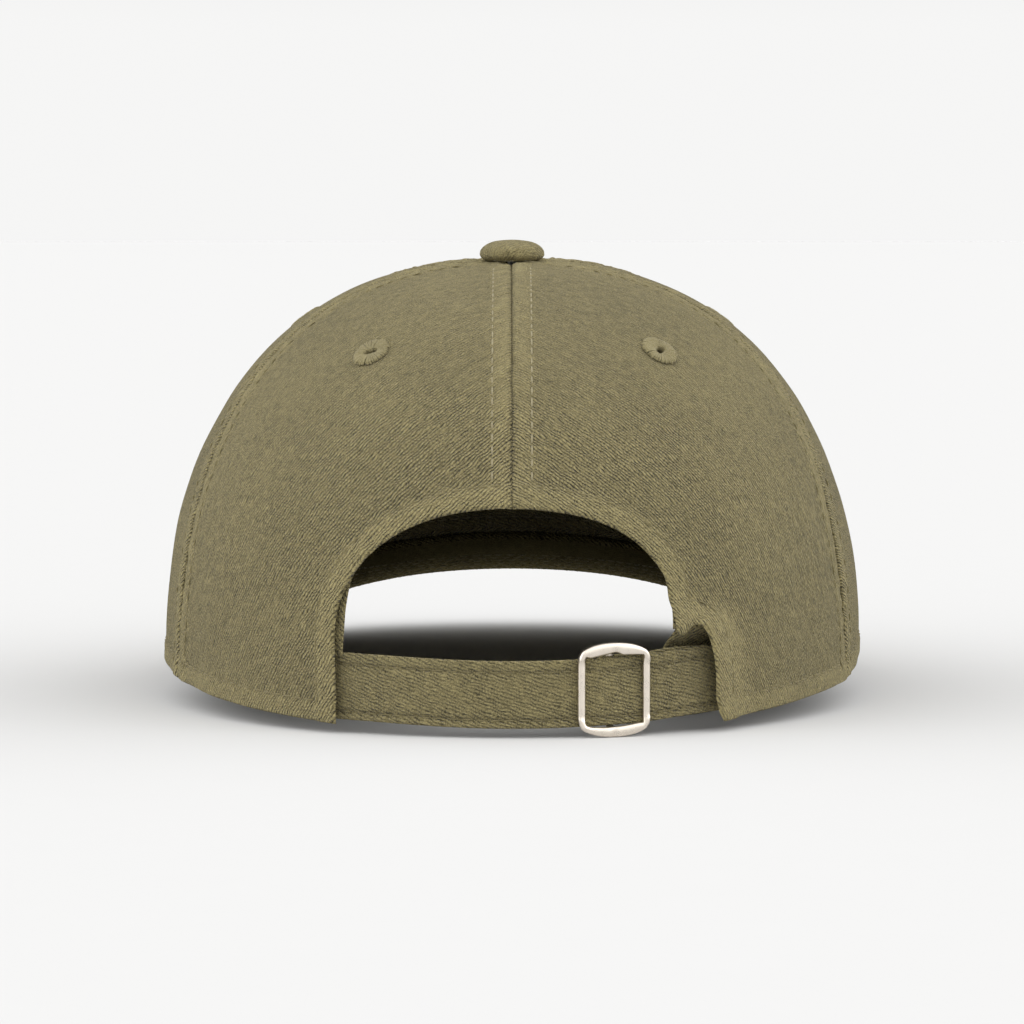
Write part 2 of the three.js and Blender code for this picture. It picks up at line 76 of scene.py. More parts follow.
# Cloth and thread. A row is a stitch line's distance from its edge, and the band offsets are mesh rows there.
CLOTH, FOLDED = 0.9, 1.45
SEAM_ROW, HEM_ROW, ARCH_ROW = 4.9, 4.8, 5.4
BAND_OFFSETS = (0.3, 0.7, 1.2, 1.9, 2.8, 3.8, 4.5, 5.0, 5.4, 5.9, 6.7)
GRID_PITCH = 1.25
WALE, BAND_GRAIN = 0.9, -19.0
STITCH_PITCH, STITCH_LENGTH, THREAD_RADIUS = 3.3, 2.6, 0.24

# Eyelets, with angles in degrees for the left and right panels, and the top button.
EYELET_HEIGHT, EYELET_HOLE_IN_CLOTH = 80.8, 2.3
EYELET_ANGLES = {"back": (37.2, 39.4), "side": (108.0, 108.0), "front": (153.0, 153.0)}
EYELET_RADIUS, EYELET_HOLE, EYELET_THREADS = 4.55, 1.0, 46
BUTTON_RADIUS = 7.9

# The straps curve about an upright axis. Angles are from the rear, growing towards the wearer's right.
STRAP_AXIS_Y, STRAP_RADIUS = 20.0, 78.1
STRAP_BOTTOM, STRAP_WIDTH, STRAP_THICKNESS = 1.9, 15.5, 1.0
STRAP_SEWN_END, STRAP_TAIL_END = math.radians(-41), math.radians(52)
STRAP_ROWS = (1.9, STRAP_WIDTH - 2.7)
SHORT_STRAP_START, SHORT_STRAP_END = math.radians(15.2), math.radians(56)
SHORT_STRAP_WIDTH, LOOP_THICKNESS = STRAP_WIDTH - 0.6, 0.7
BUCKLE_ANGLE = math.radians(17.2)
BUCKLE_CENTRE, BUCKLE_BACK, BUCKLE_CRESCENT = 9.7, 78.05, 3.0
BUCKLE_HALF, WINDOW_HALF = (8.65, 10.9), (6.95, 8.1)

# Inside the crown.
SWEATBAND_END, SWEATBAND_HEIGHT, SWEATBAND_THICKNESS = math.radians(31), 31.0, 0.8
SWEATBAND_ROWS = (3.0, SWEATBAND_HEIGHT - 4)
TAPE_WIDTH, TAPE_DEPTH, TAPE_LEFT_AT_TOP = 12.0, 2.0, 17.0

# The visor: half of its edge in plan as a curve's four points, and its height as in the CAD model.
VISOR_REACH, VISOR_SPREAD = 168.0, math.radians(72)
VISOR_EDGE = np.array([(84.5, -31.0), (95.0, -98.0), (76.0, -VISOR_REACH), (0.0, -VISOR_REACH)])
VISOR_ROOT_HEIGHT, VISOR_SLOPE, VISOR_BEND, VISOR_EDGE_BEND = 33.5, 0.211, 0.0026, 2.8e-7
VISOR_THICK, VISOR_COVER = 4.3, 0.8
VISOR_ROWS = (3.5, 10.0, 16.5, 23.0, 29.5, 36.0)

# Floor and light.
FLOOR_TONE, FLOOR_HALF = 0.655, 60.0
KEY_ELEVATION, KEY_STRENGTH, KEY_WIDTH = math.radians(50), 1.4, 2.5
FILL, HORIZON, SIDES = 0.1, 0.92, 3.4

# From the crown's own frame, centred over its middle with its rear edge at height 0, to the part's frame.
ORIGIN = np.array([0.0, CAD_BOX[0].y / MM + VISOR_REACH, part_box("long_strap")[0].z / MM - STRAP_BOTTOM])


# ---------------------------------------------------------------- small maths

def smooth(x, low, high):
    t = np.clip((np.asarray(x, float) - low) / (high - low), 0, 1)
    return t * t * (3 - 2 * t)


def bell(x, centre, width):
    return np.exp(-(((np.asarray(x) - centre) / width) ** 2))


def unit(v):
    return v / np.maximum(np.linalg.norm(v, axis=-1, keepdims=True), 1e-12)


def noise_at(points, scale, seed=0.0):
    """Perlin noise, about -1 to 1, at each point, with features of the given size."""
    shift = Vector((seed * 17.3, seed * 5.1, seed * 9.7))
    flat = np.asarray(points, float).reshape(-1, 3) / scale
    values = np.array([noise.noise(Vector(p) + shift) for p in flat.tolist()])
    return values.reshape(np.asarray(points).shape[:-1])


def noise_on(u, v, scale, seed):
    """The same noise over a flat pattern."""
    u, v = np.broadcast_arrays(u, v)
    return noise_at(np.stack([u, v, 0 * u], -1), scale, seed)


def distance_to(points, line):
    """Distance of 2D points from a polyline."""
    a, b = line[:-1], line[1:]
    ab = b - a
    t = np.einsum("nmk,mk->nm", points[:, None] - a, ab) / np.maximum((ab**2).sum(1), 1e-12)
    near = a + np.clip(t, 0, 1)[..., None] * ab
    return np.sqrt(((points[:, None] - near) ** 2).sum(2)).min(1)


def running_length(line):
    """Distance along a polyline, from 0, at each of its points."""
    return np.concatenate([[0], np.cumsum(np.linalg.norm(np.diff(line, axis=0), axis=1))])


def resample(line, step):
    """The polyline with points about one step apart."""
    length = running_length(line)
    count = max(2, int(round(length[-1] / step)) + 1)
    at = np.linspace(0, length[-1], count)
    return np.stack([np.interp(at, length, line[:, k]) for k in range(line.shape[1])], axis=1)


def bezier_at(t, a, b, c, d):
    t = t[..., None]
    return (1 - t) ** 3 * a + 3 * t * (1 - t) ** 2 * b + 3 * t * t * (1 - t) * c + t**3 * d


def bezier(points, count):
    return bezier_at(np.linspace(0, 1, count), *np.array(points))


# ---------------------------------------------------------------- the crown's surface

def edge_rise(angle):
    from_back = np.arccos(np.cos(angle))
    share = np.clip((from_back - FRONT_START) / (math.pi - FRONT_START), 0, 1)
    return FRONT_RISE * (1 - np.cos(math.pi * share)) / 2


def climb_to(height):
    return np.arcsin(np.clip(np.asarray(height) / RISE, 0, 1) ** (PROFILE / 2))


def radius_share(climb):
    return np.maximum(np.cos(climb), 0) ** (2 / PROFILE)


def lean(x, y, z):
    back = y - HALF_LENGTH
    return np.stack([x, back * math.cos(LEAN) + z * math.sin(LEAN) + HALF_LENGTH,
                     z * math.cos(LEAN) - back * math.sin(LEAN)], axis=-1)


def crown(angle, climb, depth=0.0):
    s, c = np.sin(angle), np.cos(angle)
    share = radius_share(climb) * (np.abs(s) ** PLAN + np.abs(c) ** PLAN) ** (-1 / PLAN)
    z = (RISE - depth) * np.maximum(np.sin(climb), 0) ** (2 / PROFILE)
    return lean((HALF_WIDTH - depth) * share * s, (HALF_LENGTH - depth) * share * c, z)


def crown_normal(angle, climb):
    step = 1e-3
    along = crown(angle + step, climb) - crown(angle - step, climb)
    high = np.clip(climb, 2 * step, TOP_CLIMB)
    up = crown(angle, high + step) - crown(angle, high - step)
    return unit(np.cross(up, along))


TOP_CLIMB = float(np.arccos((TOP_RADIUS / HALF_WIDTH) ** (PROFILE / 2)))
MEAN_RADIUS = (HALF_WIDTH + HALF_LENGTH) / 2
_climbs = np.linspace(0, TOP_CLIMB, 800)
_profile = np.stack([MEAN_RADIUS * radius_share(_climbs), RISE * np.sin(_climbs) ** (2 / PROFILE)], 1)
_lengths = running_length(_profile)


def climb_at(length):
    return np.interp(length, _lengths, _climbs)


def length_at(climb):
    return np.interp(climb, _climbs, _lengths)


def seam_angle(base, climb):
    """A seam's angle at a climb: the side seams sweep forward as they rise."""
    share = np.maximum(np.sin(climb), 0) ** (2 / PROFILE)
    sweep = SEAM_SWEEP[abs(base)] * share**2.4
    return base + np.sign(base) * sweep


def on_crown(x, z):
    """Angle and climb of the rear wall's point that has this x and this height."""
    climb, angle = climb_to(z), np.arcsin(np.clip(x / HALF_WIDTH, -1, 1))
    for _ in range(30):
        p = crown(angle, climb)
        angle = angle + (x - p[..., 0]) / HALF_WIDTH
        climb = np.clip(climb + (z - p[..., 2]) / RISE, 1e-4, TOP_CLIMB)
    return angle, climb


# ---------------------------------------------------------------- meshes

def grid_faces(columns, rows, closed=False):
    """Quads of a grid of points stored row by row; closed joins each row's end to its start."""
    i, j = np.meshgrid(np.arange(columns if closed else columns - 1), np.arange(rows - 1))
    a, b = j * columns + i, j * columns + (i + 1) % columns
    return np.stack([a, b, b + columns, a + columns], -1).reshape(-1, 4)


def open_edges(faces):
    """Directed edges that only one face has."""
    faces = np.asarray(faces)
    pairs = np.stack([faces, np.roll(faces, -1, axis=1)], -1).reshape(-1, 2)
    there = {tuple(p) for p in pairs.tolist()}
    return np.array([p for p in pairs.tolist() if (p[1], p[0]) not in there])


def shell(outer, inner, faces):
    """A sheet with thickness: both faces, and walls along its open edges."""
    count = len(outer)
    a, b = open_edges(faces).T
    walls = np.stack([b, a, a + count, b + count], -1)
    sides = faces.tolist() + (faces[:, ::-1] + count).tolist() + walls.tolist()
    return np.concatenate([outer, inner]), sides


def add_piece(name, points, faces, finish, slot, body="cap", nodes=(), **attributes):
    """A mesh in the row frame that rides on a body, may stand for CAD nodes, and carries point attributes."""
    mesh = bpy.data.meshes.new(name)
    mesh.from_pydata(((np.asarray(points) + ORIGIN) * MM).tolist(), [], [list(f) for f in faces])
    mesh.shade_smooth()
    attributes.setdefault("crisp", np.full(len(points), 0.8))
    for key, values in attributes.items():
        values = np.asarray(values, np.float32)
        layer = mesh.attributes.new(key, "FLOAT" if values.ndim == 1 else "FLOAT_VECTOR", "POINT")
        layer.data.foreach_set("value" if values.ndim == 1 else "vector", values.ravel())
    mesh.materials.append(finish)
    piece = bpy.data.objects.new(name, mesh)
    bpy.context.collection.objects.link(piece)
    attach(piece, body)
    if nodes:
        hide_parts(*nodes)


def weave_of(u, v, angle=38.0):
    """Coordinates along and across the wales, which slant at an angle in degrees from u towards v."""
    c, s = math.cos(math.radians(angle)), math.sin(math.radians(angle))
    return np.stack([c * u + s * v, c * v - s * u, np.zeros_like(u)], -1)


def tubes(paths, normals, radii, sides=6):
    """Round tubes with closed ends along many paths at once. paths is (tube, sample, 3)."""
    count, samples = paths.shape[:2]
    along = unit(np.gradient(paths, axis=1))
    across = unit(np.cross(along, normals))
    up = np.cross(across, along)
    turn = np.arange(sides) * TAU / sides
    ring = (np.cos(turn)[:, None] * across[..., None, :] + np.sin(turn)[:, None] * up[..., None, :])
    points = paths[..., None, :] + ring * radii[..., None, None]
    one = grid_faces(sides, samples, closed=True)
    caps = [list(range(sides))[::-1], list(range((samples - 1) * sides, samples * sides))]
    faces = []
    for k in range(count):
        start = k * samples * sides
        faces += (one + start).tolist() + [[start + i for i in cap] for cap in caps]
    return points.reshape(-1, 3), faces


def stitches(path, normals, keep=None, radius=THREAD_RADIUS, sunk=0.0):
    """Thread lying along a path, one tube per stitch, with each end dipping into the cloth."""
    at = running_length(path)
    count = int(at[-1] / STITCH_PITCH)
    share = np.linspace(0, 1, 7)
    along = (np.arange(count)[:, None] + 0.1) * STITCH_PITCH + share * STITCH_LENGTH
    if keep is not None:
        along = along[np.interp(along[:, 3], at, keep.astype(float)) > 0.99]
    centre, up = (np.stack([np.interp(along, at, column) for column in values.T], -1)
                  for values in (path, normals))
    up = unit(up)
    arch = np.sin(math.pi * share)
    centre = centre + up * (radius * (-0.7 + 1.25 * arch) - sunk)[None, :, None]
    return tubes(centre, up, np.broadcast_to(radius * (0.55 + 0.45 * arch), along.shape))


def join_parts(parts):
    """Points and faces of several meshes as one."""
    points, faces, start = [], [], 0
    for p, f in parts:
        points.append(p)
        faces += [[i + start for i in face] for face in f]
        start += len(p)
    return np.concatenate(points), faces


def add_thread(name, parts, finish, nodes=()):
    """Several runs of thread as one piece."""
    points, faces = join_parts(parts)
    add_piece(name, points, faces, finish, "thread", nodes=nodes)


# ---------------------------------------------------------------- materials

class Shader:
    """A material's or a world's nodes, as nested calls: an input is a number, a colour or a node's output."""

    def __init__(self, owner):
        self.owner = bpy.data.materials.new(owner) if isinstance(owner, str) else owner
        self.owner.use_nodes = True
        self.tree = self.owner.node_tree
        self.tree.nodes.clear()

    def node(self, kind, inputs, output=0, **settings):
        node = self.tree.nodes.new("ShaderNode" + kind)
        for key, value in settings.items():
            setattr(node, key, value)
        for key, value in inputs.items():
            if isinstance(value, bpy.types.NodeSocket):
                self.tree.links.new(value, node.inputs[key])
            else:
                node.inputs[key].default_value = value
        return node.outputs[output] if len(node.outputs) else None

    def math(self, operation, *values):
        return self.node("Math", dict(enumerate(values)), operation=operation)

    def dot(self, vector, direction):
        return self.node("VectorMath", {0: vector, 1: direction}, output="Value", operation="DOT_PRODUCT")

    def millimetres(self):
        """Object coordinates in millimetres."""
        place = self.node("TexCoord", {}, output="Object")
        return self.node("VectorMath", {0: place, 1: (1 / MM, 1 / MM, 1 / MM)}, operation="MULTIPLY")

    def noise(self, vector, scale, detail=2.0, stretch=(1, 1, 1)):
        """Noise from about -1 to 1."""
        if stretch != (1, 1, 1):
            vector = self.node("VectorMath", {0: vector, 1: stretch}, operation="MULTIPLY")
        raw = self.node("TexNoise", {"Vector": vector, "Scale": scale, "Detail": detail})
        return self.math("MULTIPLY_ADD", raw, 4.0, -2.0)

    def sum(self, *terms):
        """Weighted sum of (weight, value) terms."""
        total = 0.0
        for weight, value in terms:
            total = self.math("MULTIPLY_ADD", value, weight, total)
        return total

    def ramp(self, factor, *stops):
        node = self.tree.nodes.new("ShaderNodeValToRGB")
        self.tree.links.new(factor, node.inputs[0])
        while len(node.color_ramp.elements) < len(stops):
            node.color_ramp.elements.new(0.5)
        for element, (position, colour) in zip(node.color_ramp.elements, stops):
            element.position, element.color = position, (*colour, 1)
        return node.outputs[0]

    def finish(self, colour, roughness, height=None, relief=0.0, **constants):
        inputs = {"Base Color": colour, "Roughness": roughness}
        if height is not None:
            inputs["Normal"] = self.node("Bump", {"Height": height, "Distance": relief * MM, "Strength": 1.0})
        inputs.update({key.replace("_", " "): value for key, value in constants.items()})
        surface = self.node("BsdfPrincipled", inputs)
        self.node("OutputMaterial", {"Surface": surface})
        return self.owner


def scaled(colour, factor):
    return tuple(c * factor for c in colour)


def twill(name, colour, contrast=1.0, wale=WALE, sheen=0.1, gloss=0.15):
    """Washed cotton twill: broken wales over yarn floats, mottled, paler where the cloth stands out (wear) and
    darker in its seams, creases and stitch grooves (painted shade).
    """
    s = Shader(name)
    weave = s.node("Attribute", {}, output="Vector", attribute_name="weave")
    proud = s.node("Attribute", {}, output="Fac", attribute_name="proud")
    crisp = s.node("Attribute", {}, output="Fac", attribute_name="crisp")
    wander = s.noise(weave, 0.36)
    phase = s.math("MULTIPLY_ADD", wander, 0.46, s.dot(weave, (0, 1 / wale, 0)))
    wave = s.math("SINE", s.math("MULTIPLY", phase, TAU))
    offset = s.math("MULTIPLY", s.math("FLOOR", phase), 0.37)
    float_phase = s.math("MULTIPLY_ADD", s.dot(weave, (1, 0, 0)), 0.9 / wale, offset)
    floats = s.math("SINE", s.math("MULTIPLY", s.math("MULTIPLY_ADD", wander, 1.1, float_phase), TAU))
    broken = s.noise(weave, 1.0, stretch=(0.55, 1.0, 1))
    patch = s.noise(weave, 0.11)
    fibre = s.noise(weave, 3.2)
    slub = s.noise(weave, 1.1, stretch=(0.5, 1.6, 1))
    strength = s.math("MULTIPLY", crisp, s.sum((0.8, 1.0), (0.55, broken), (0.25, patch)))
    valley = s.math("POWER", s.math("MULTIPLY_ADD", wave, -0.5, 0.5), 2.2)
    ridge = s.math("MULTIPLY", s.math("MULTIPLY_ADD", valley, -2.4, 0.8), strength)
    yarn = s.math("MULTIPLY", floats, strength)
    cloud = s.noise(weave, 0.035, detail=3.0)
    spot = s.noise(weave, 0.5)
    # The relief term paints shade: cloth sunk in seams, creases and stitch grooves is drawn darker, and raised
    # cloth is drawn paler as wear.
    tone = s.sum((0.5, 1.0), (0.26 * contrast, ridge), (0.2 * contrast, yarn), (0.30, fibre), (0.12, slub),
                 (0.06, cloud), (0.12, spot), (0.36, proud))
    shade = s.ramp(tone, (0.0, scaled(colour, 0.22)), (0.5, colour), (1.0, scaled(colour, 1.9)))
    height = s.sum((0.55, ridge), (0.42, yarn), (0.5, fibre), (0.25, slub))
    return s.finish(shade, 0.93, height, 0.5, Sheen_Weight=sheen, Sheen_Roughness=0.45,
                    Specular_IOR_Level=gloss)


def plain_cloth(name, colour, grain=2.2, relief=0.12):
    """Tape, thread and felt: fine crossing yarns with a little mottling."""
    s = Shader(name)
    mm = s.millimetres()
    yarn = s.noise(mm, grain)
    cloud = s.noise(mm, 0.12)
    tone = s.sum((0.5, 1.0), (0.14, yarn), (0.07, cloud))
    shade = s.ramp(tone, (0.0, scaled(colour, 0.4)), (0.5, colour), (1.0, scaled(colour, 1.6)))
    return s.finish(shade, 0.88, yarn, relief, Sheen_Weight=0.15, Sheen_Roughness=0.5, Specular_IOR_Level=0.2)


def metal(name, colour, roughness, scratch=0.006):
    s = Shader(name)
    mm = s.millimetres()
    blotch = s.noise(mm, 0.5, detail=3.0)
    fine = s.noise(mm, 5.0, detail=1.0)
    tone = s.sum((0.5, 1.0), (0.12, blotch), (0.05, fine))
    shade = s.ramp(tone, (0.0, scaled(colour, 0.72)), (0.5, colour), (1.0, scaled(colour, 1.12)))
    rough = s.sum((roughness, 1.0), (0.06, blotch), (0.03, fine))
    return s.finish(shade, rough, fine, scratch, Metallic=1.0)


def board_plastic(name, colour):
    s = Shader(name)
    mm = s.millimetres()
    grain = s.noise(mm, 1.2, detail=3.0)
    tone = s.sum((0.5, 1.0), (0.2, grain))
    shade = s.ramp(tone, (0.0, scaled(colour, 0.6)), (1.0, scaled(colour, 1.4)))
    return s.finish(shade, s.sum((0.5, 1.0), (0.08, grain)), grain, 0.08)


FABRIC = (0.246, 0.208, 0.098)
TWILL = twill("washed_twill", FABRIC)
# The under cover is the crown's twill painted a fifth darker, as painted shade under the visor; it also has no
# sheen or gloss.
UNDER_TWILL = twill("visor_under_twill", scaled(FABRIC, 0.8), sheen=0.0, gloss=0.0)
STRAP_TWILL = twill("strap_twill", FABRIC, contrast=0.75, wale=0.8)
BAND_TWILL = twill("sweatband_twill", scaled(FABRIC, 0.95), contrast=0.8)
TAPE = plain_cloth("seam_tape", scaled(FABRIC, 0.85))
THREAD = plain_cloth("topstitch_thread", (0.34, 0.297, 0.18), grain=4.0)
# This thread is painted a little darker than the cloth, as painted shade in the grooves where it sinks.
DARK_THREAD = plain_cloth("sunk_thread", scaled(FABRIC, 0.92), grain=4.0)
FELT = plain_cloth("padding_felt", (0.62, 0.60, 0.54), grain=1.6, relief=0.3)
BOARD = board_plastic("visor_board_plastic", (0.045, 0.045, 0.042))
EYELET_THREAD = plain_cloth("eyelet_thread", (0.27, 0.232, 0.117), grain=3.0)
STEEL = metal("button_steel", (0.62, 0.61, 0.59), 0.35)
NICKEL = metal("buckle_nickel", (0.76, 0.69, 0.60), 0.3, scratch=0.003)


# ---------------------------------------------------------------- crown panels

def opening_skew(x, z):
    """The rear opening leans a little towards the wearer's left above the straps."""
    left = 1.0 * (1 - smooth(z, 36, 50)) + 0.8 * (1 - smooth(z, 26, 36))
    right = 0.6 * (1 - smooth(z, 38, 48)) + 1.3 * (1 - smooth(z, 29, 36))
    return np.where(x > 0, left, right)


def opening_line(side):
    """Half of the rear opening's edge in x and z, from its top to below the hem."""
    turn = np.linspace(math.pi / 2, 0, 60)
    arch = np.stack([ARCH_HALF_WIDTH * np.cos(turn) ** (2 / ARCH_POWER),
                     ARCH_SPRING + ARCH_RISE * np.sin(turn) ** (2 / ARCH_POWER)], -1)
    arch[:, 0] += side * opening_skew(side * arch[:, 0], arch[:, 1])
    arch[0, 0] = 0
    if side > 0:
        foot = np.array([[ARCH_FOOT, 0.0], [ARCH_FOOT + 0.3, -3.0]])
        return resample(np.concatenate([arch, foot]), 0.4)
    jog = bezier([[36.6, 25.5], [36.5, 20.2], [38.2, 21.2], [40.4, 23.4]], 16)
    flare = bezier([[40.4, 23.4], [43.0, 26.0], [45.4, 19.5], [MOUTH, 12.0]], 24)
    corner = bezier([[MOUTH, 12.0], [MOUTH, 6.0], [MOUTH + 0.1, 2.2], [MOUTH + 2.6, 0.7]], 14)
    foot = [[MOUTH + 4.4, -0.5], [MOUTH + 6, -3.0]]
    line = np.concatenate([arch[arch[:, 1] > 26.6], jog, flare[1:], corner[1:], foot])
    return resample(line, 0.4) * (-1, 1)


def inside(points, ring):
    """Even-odd test of 2D points against a closed ring."""
    x, y = points[:, :1], points[:, 1:]
    a, b = ring, np.roll(ring, -1, axis=0)
    spans = (a[:, 1] > y) != (b[:, 1] > y)
    rise = np.where(b[:, 1] == a[:, 1], 1e-9, b[:, 1] - a[:, 1])
    return (spans & (x < a[:, 0] + (y - a[:, 1]) / rise * (b[:, 0] - a[:, 0]))).sum(1) % 2 == 1


def fill(ring, hole_centre, hole_radius):
    """Points and triangles that fill a counter-clockwise ring, with close rows along its edge and a hole."""
    closed = np.concatenate([ring, ring[:1]])
    along = np.roll(ring, -1, axis=0) - np.roll(ring, 1, axis=0)
    inward = unit(np.stack([-along[:, 1], along[:, 0]], -1))
    rows = [ring]
    for offset in BAND_OFFSETS:
        row = ring + inward * offset
        clear = distance_to(row, closed) > 0.93 * offset
        rows.append(row[clear & inside(row, ring)])
    low, high = ring.min(0), ring.max(0)
    ys = np.arange(low[1], high[1], GRID_PITCH * math.sqrt(3) / 2)
    xs = np.arange(low[0], high[0], GRID_PITCH)
    grid = np.array([(x + (k % 2) * GRID_PITCH / 2, y) for k, y in enumerate(ys) for x in xs])
    grid = grid[inside(grid, ring)]
    rows.append(grid[distance_to(grid, closed) > BAND_OFFSETS[-1] + 0.8])
    points = np.concatenate(rows)
    turn = np.linspace(0, TAU, 24, endpoint=False)
    points = points[np.linalg.norm(points - hole_centre, axis=1) > hole_radius + 0.3]
    rim = hole_centre + hole_radius * np.stack([np.cos(turn), np.sin(turn)], -1)
    points = np.concatenate([points, rim])
    edges = [(i, (i + 1) % len(ring)) for i in range(len(ring))]
    made = geometry.delaunay_2d_cdt([Vector(p) for p in points.tolist()], edges, [], 1, 1e-5)
    points, faces = np.array([tuple(v) for v in made[0]]), np.array([list(f) for f in made[2]])
    middle = points[faces].mean(1)
    return points, faces[np.linalg.norm(middle - hole_centre, axis=1) > hole_radius * 0.98]


def chunked(function, points, size=3000):
    return np.concatenate([function(points[i:i + size]) for i in range(0, len(points), size)])


class Panel:
    """A crown panel, flat in pattern space: u to the right as seen from outside, v up from the hem."""

    def __init__(self, name, side, start, end, eyelet):
        self.name, self.side = name, side
        self.start, self.end = side * start, side * end
        self.middle = (self.start + self.end) / 2
        self.opening = None
        if start == 0:
            line = opening_line(side)
            angle, climb = on_crown(line[:, 0], line[:, 1])
            over = climb > 2e-3
            foot = int(over.sum())
            self.foot_angle = angle[foot]
            self.opening = self.flat(angle[:foot], climb[:foot])
        self.seed = 3.0 * side + 7.0 * start
        self.eyelet = (side * eyelet, climb_to(EYELET_HEIGHT))

    def flat(self, angle, climb):
        return np.stack([-(angle - self.middle) * MEAN_RADIUS * radius_share(climb), length_at(climb)], -1)

    def angles(self, p):
        climb = climb_at(p[:, 1])
        return self.middle - p[:, 0] / (MEAN_RADIUS * radius_share(climb)), climb

    def hem_line(self, start, end):
        angle = np.linspace(start, end, 200)
        return self.flat(angle, climb_to(edge_rise(angle)))

    def seam_line(self, base, low, high=TOP_CLIMB):
        climb = np.linspace(low, high, 400)
        return self.flat(seam_angle(base, climb), climb)

    def ring(self):
        """The panel's outline, counter-clockwise as seen from outside."""
        bottom = self.foot_angle if self.opening is not None else self.start
        hem = self.hem_line(bottom, self.end)
        far = self.seam_line(self.end, float(climb_to(edge_rise(self.end))))
        near = self.seam_line(self.start, float(climb_to(edge_rise(self.start))))
        if self.opening is not None:
            near = near[near[:, 1] > self.opening[0, 1]]
        angle = np.linspace(seam_angle(self.end, TOP_CLIMB), seam_angle(self.start, TOP_CLIMB), 30)
        top = self.flat(angle, np.full_like(angle, TOP_CLIMB))
        parts = [hem, far[1:], top[1:], near[::-1][1:]]
        if self.opening is not None:
            parts.append(self.opening[:-1])
        else:
            parts[-1] = parts[-1][:-1]
        line = np.concatenate(parts)
        line = resample(np.concatenate([line, line[:1]]), 0.95)[:-1]
        return line[::-1] if self.side > 0 else line

    def distances(self, p):
        """Distance from the near seam, the far seam, the hem and the opening."""
        angle, climb = self.angles(p)
        reach = MEAN_RADIUS * radius_share(climb)
        near = np.abs(angle - seam_angle(self.start, climb)) * reach
        far = np.abs(angle - seam_angle(self.end, climb)) * reach
        hem = p[:, 1] - length_at(climb_to(edge_rise(angle)))
        opening = np.full(len(p), 99.0)
        if self.opening is not None:
            opening = chunked(lambda q: distance_to(q, self.opening), p)
        return near, far, np.maximum(hem, 0), opening

    def drift(self, p):
        """The crown's slow unevenness, soft upright folds low at the sides, and its fuller top."""
        angle, climb = self.angles(p)
        base = crown(angle, climb)
        out = 0.42 * noise_at(base, 30, self.seed) + 0.14 * noise_at(base, 11, self.seed + 1)
        sides = smooth(np.abs(np.sin(angle)), 0.7, 0.97) * (1 - smooth(p[:, 1], 12, 75))
        fold = noise_on(angle * 93 / 13, p[:, 1] / 60, 1.0, self.seed)
        out += 0.9 * sides * fold + 0.6 * smooth(p[:, 1], 60, 110) + 0.1
        if self.side < 0:
            out += 0.7 * smooth(np.abs(np.sin(angle)), 0.75, 0.97) * bell(p[:, 1], 85, 35)
        return out

    def relief(self, p):
        """Seams, edges, stitched grooves and the strap pocket."""
        near, far, hem, opening = self.distances(p)
        angle, climb = self.angles(p)
        out = np.zeros(len(p))
        for base, d, way in ((self.start, near, 1), (self.end, far, -1)):
            out += seam_relief(d, p[:, 1], base, self.side if base == 0 else way)
        round_way = angle * MEAN_RADIUS
        out += edge_relief(hem, round_way, HEM_ROW, self.seed + 2, 0.35)
        out += edge_relief(opening, p[:, 0] + p[:, 1], ARCH_ROW, self.seed + 3, 0.55)
        if self.side < 0 and self.opening is not None:
            mouth = np.exp(-((opening / 7.0) ** 2)) * (1 - smooth(p[:, 1], 22, 30))
            out += 2.0 * mouth
            spot = crown(angle, climb)
            slant = distance_to(spot[:, [0, 2]], np.array([[-38.0, 21.5], [-42.0, 25.8], [-47.5, 31.0]]))
            out -= 0.9 * bell(slant, 0, 0.8) * (1 - smooth(np.abs(spot[:, 0]), 42, 47))
        return out

    def lift(self, p):
        """How far the cloth stands out of the crown's surface."""
        return self.drift(p) + self.relief(p)

    def surface(self, p, lift=None):
        """Points on the outer face, and their outward normals."""
        angle, climb = self.angles(p)
        normal = crown_normal(angle, climb)
        lift = self.lift(p) if lift is None else lift
        return crown(angle, climb) + lift[:, None] * normal, normal

    def build(self):
        centre = self.flat(*self.eyelet)
        points, faces = fill(self.ring(), centre, EYELET_HOLE_IN_CLOTH)
        relief = self.relief(points)
        outer, normal = self.surface(points, relief + self.drift(points))
        _, _, hem, opening = self.distances(points)
        edge = np.minimum(hem, opening)
        thick = CLOTH + (FOLDED - CLOTH) * (1 - smooth(edge, 8, 10))
        nose = FOLDED / 2
        thick = thick - (thick - 0.08) * np.clip(1 - edge / nose, 0, 1) ** 2
        inner = outer - thick[:, None] * normal
        a, b, c = (outer[faces[:, k]] for k in range(3))
        if (np.cross(b - a, c - a) * normal[faces[:, 0]]).sum() < 0:
            faces = faces[:, ::-1]
        points_in_space, sides = shell(outer, inner, faces)
        weave, crisp = self.grain(points)
        # Painted shade: where the relief sinks (seam creases, stitch grooves, the rounded-off edges) the twill
        # is drawn darker; where it stands out it is drawn paler, as wear.
        proud = np.clip(relief - 0.1, -0.9, 0.4)
        add_piece(f"{self.name}_cloth", points_in_space, sides, TWILL, "twill", nodes=[f"{self.name}_panel"],
                  weave=np.tile(weave, (2, 1)), proud=np.tile(proud, 2), crisp=np.tile(crisp, 2))
        self.add_stitching()

    def grain(self, p):
        """Wale coordinates, steeper away from the centre seam and near the hem, and the wales' crispness."""
        u = p[:, 0] * self.side
        far = u.max() - u
        slope, bend = (1.15, 0.0065) if self.side > 0 else (0.76, 0.011)
        low = 1 - smooth(p[:, 1], 15, 60)
        v = p[:, 1] + 0.5 * bend * far**2 + (0.35 if self.side < 0 else 0.12) * (far - 45) * low
        weave = weave_of(u, v, math.degrees(math.atan(slope)))
        crisp = 1.0 - 0.62 * smooth(p[:, 1], 62, 92) - 0.3 * smooth(far, 35, 70)
        return weave, np.maximum(crisp, 0.3)

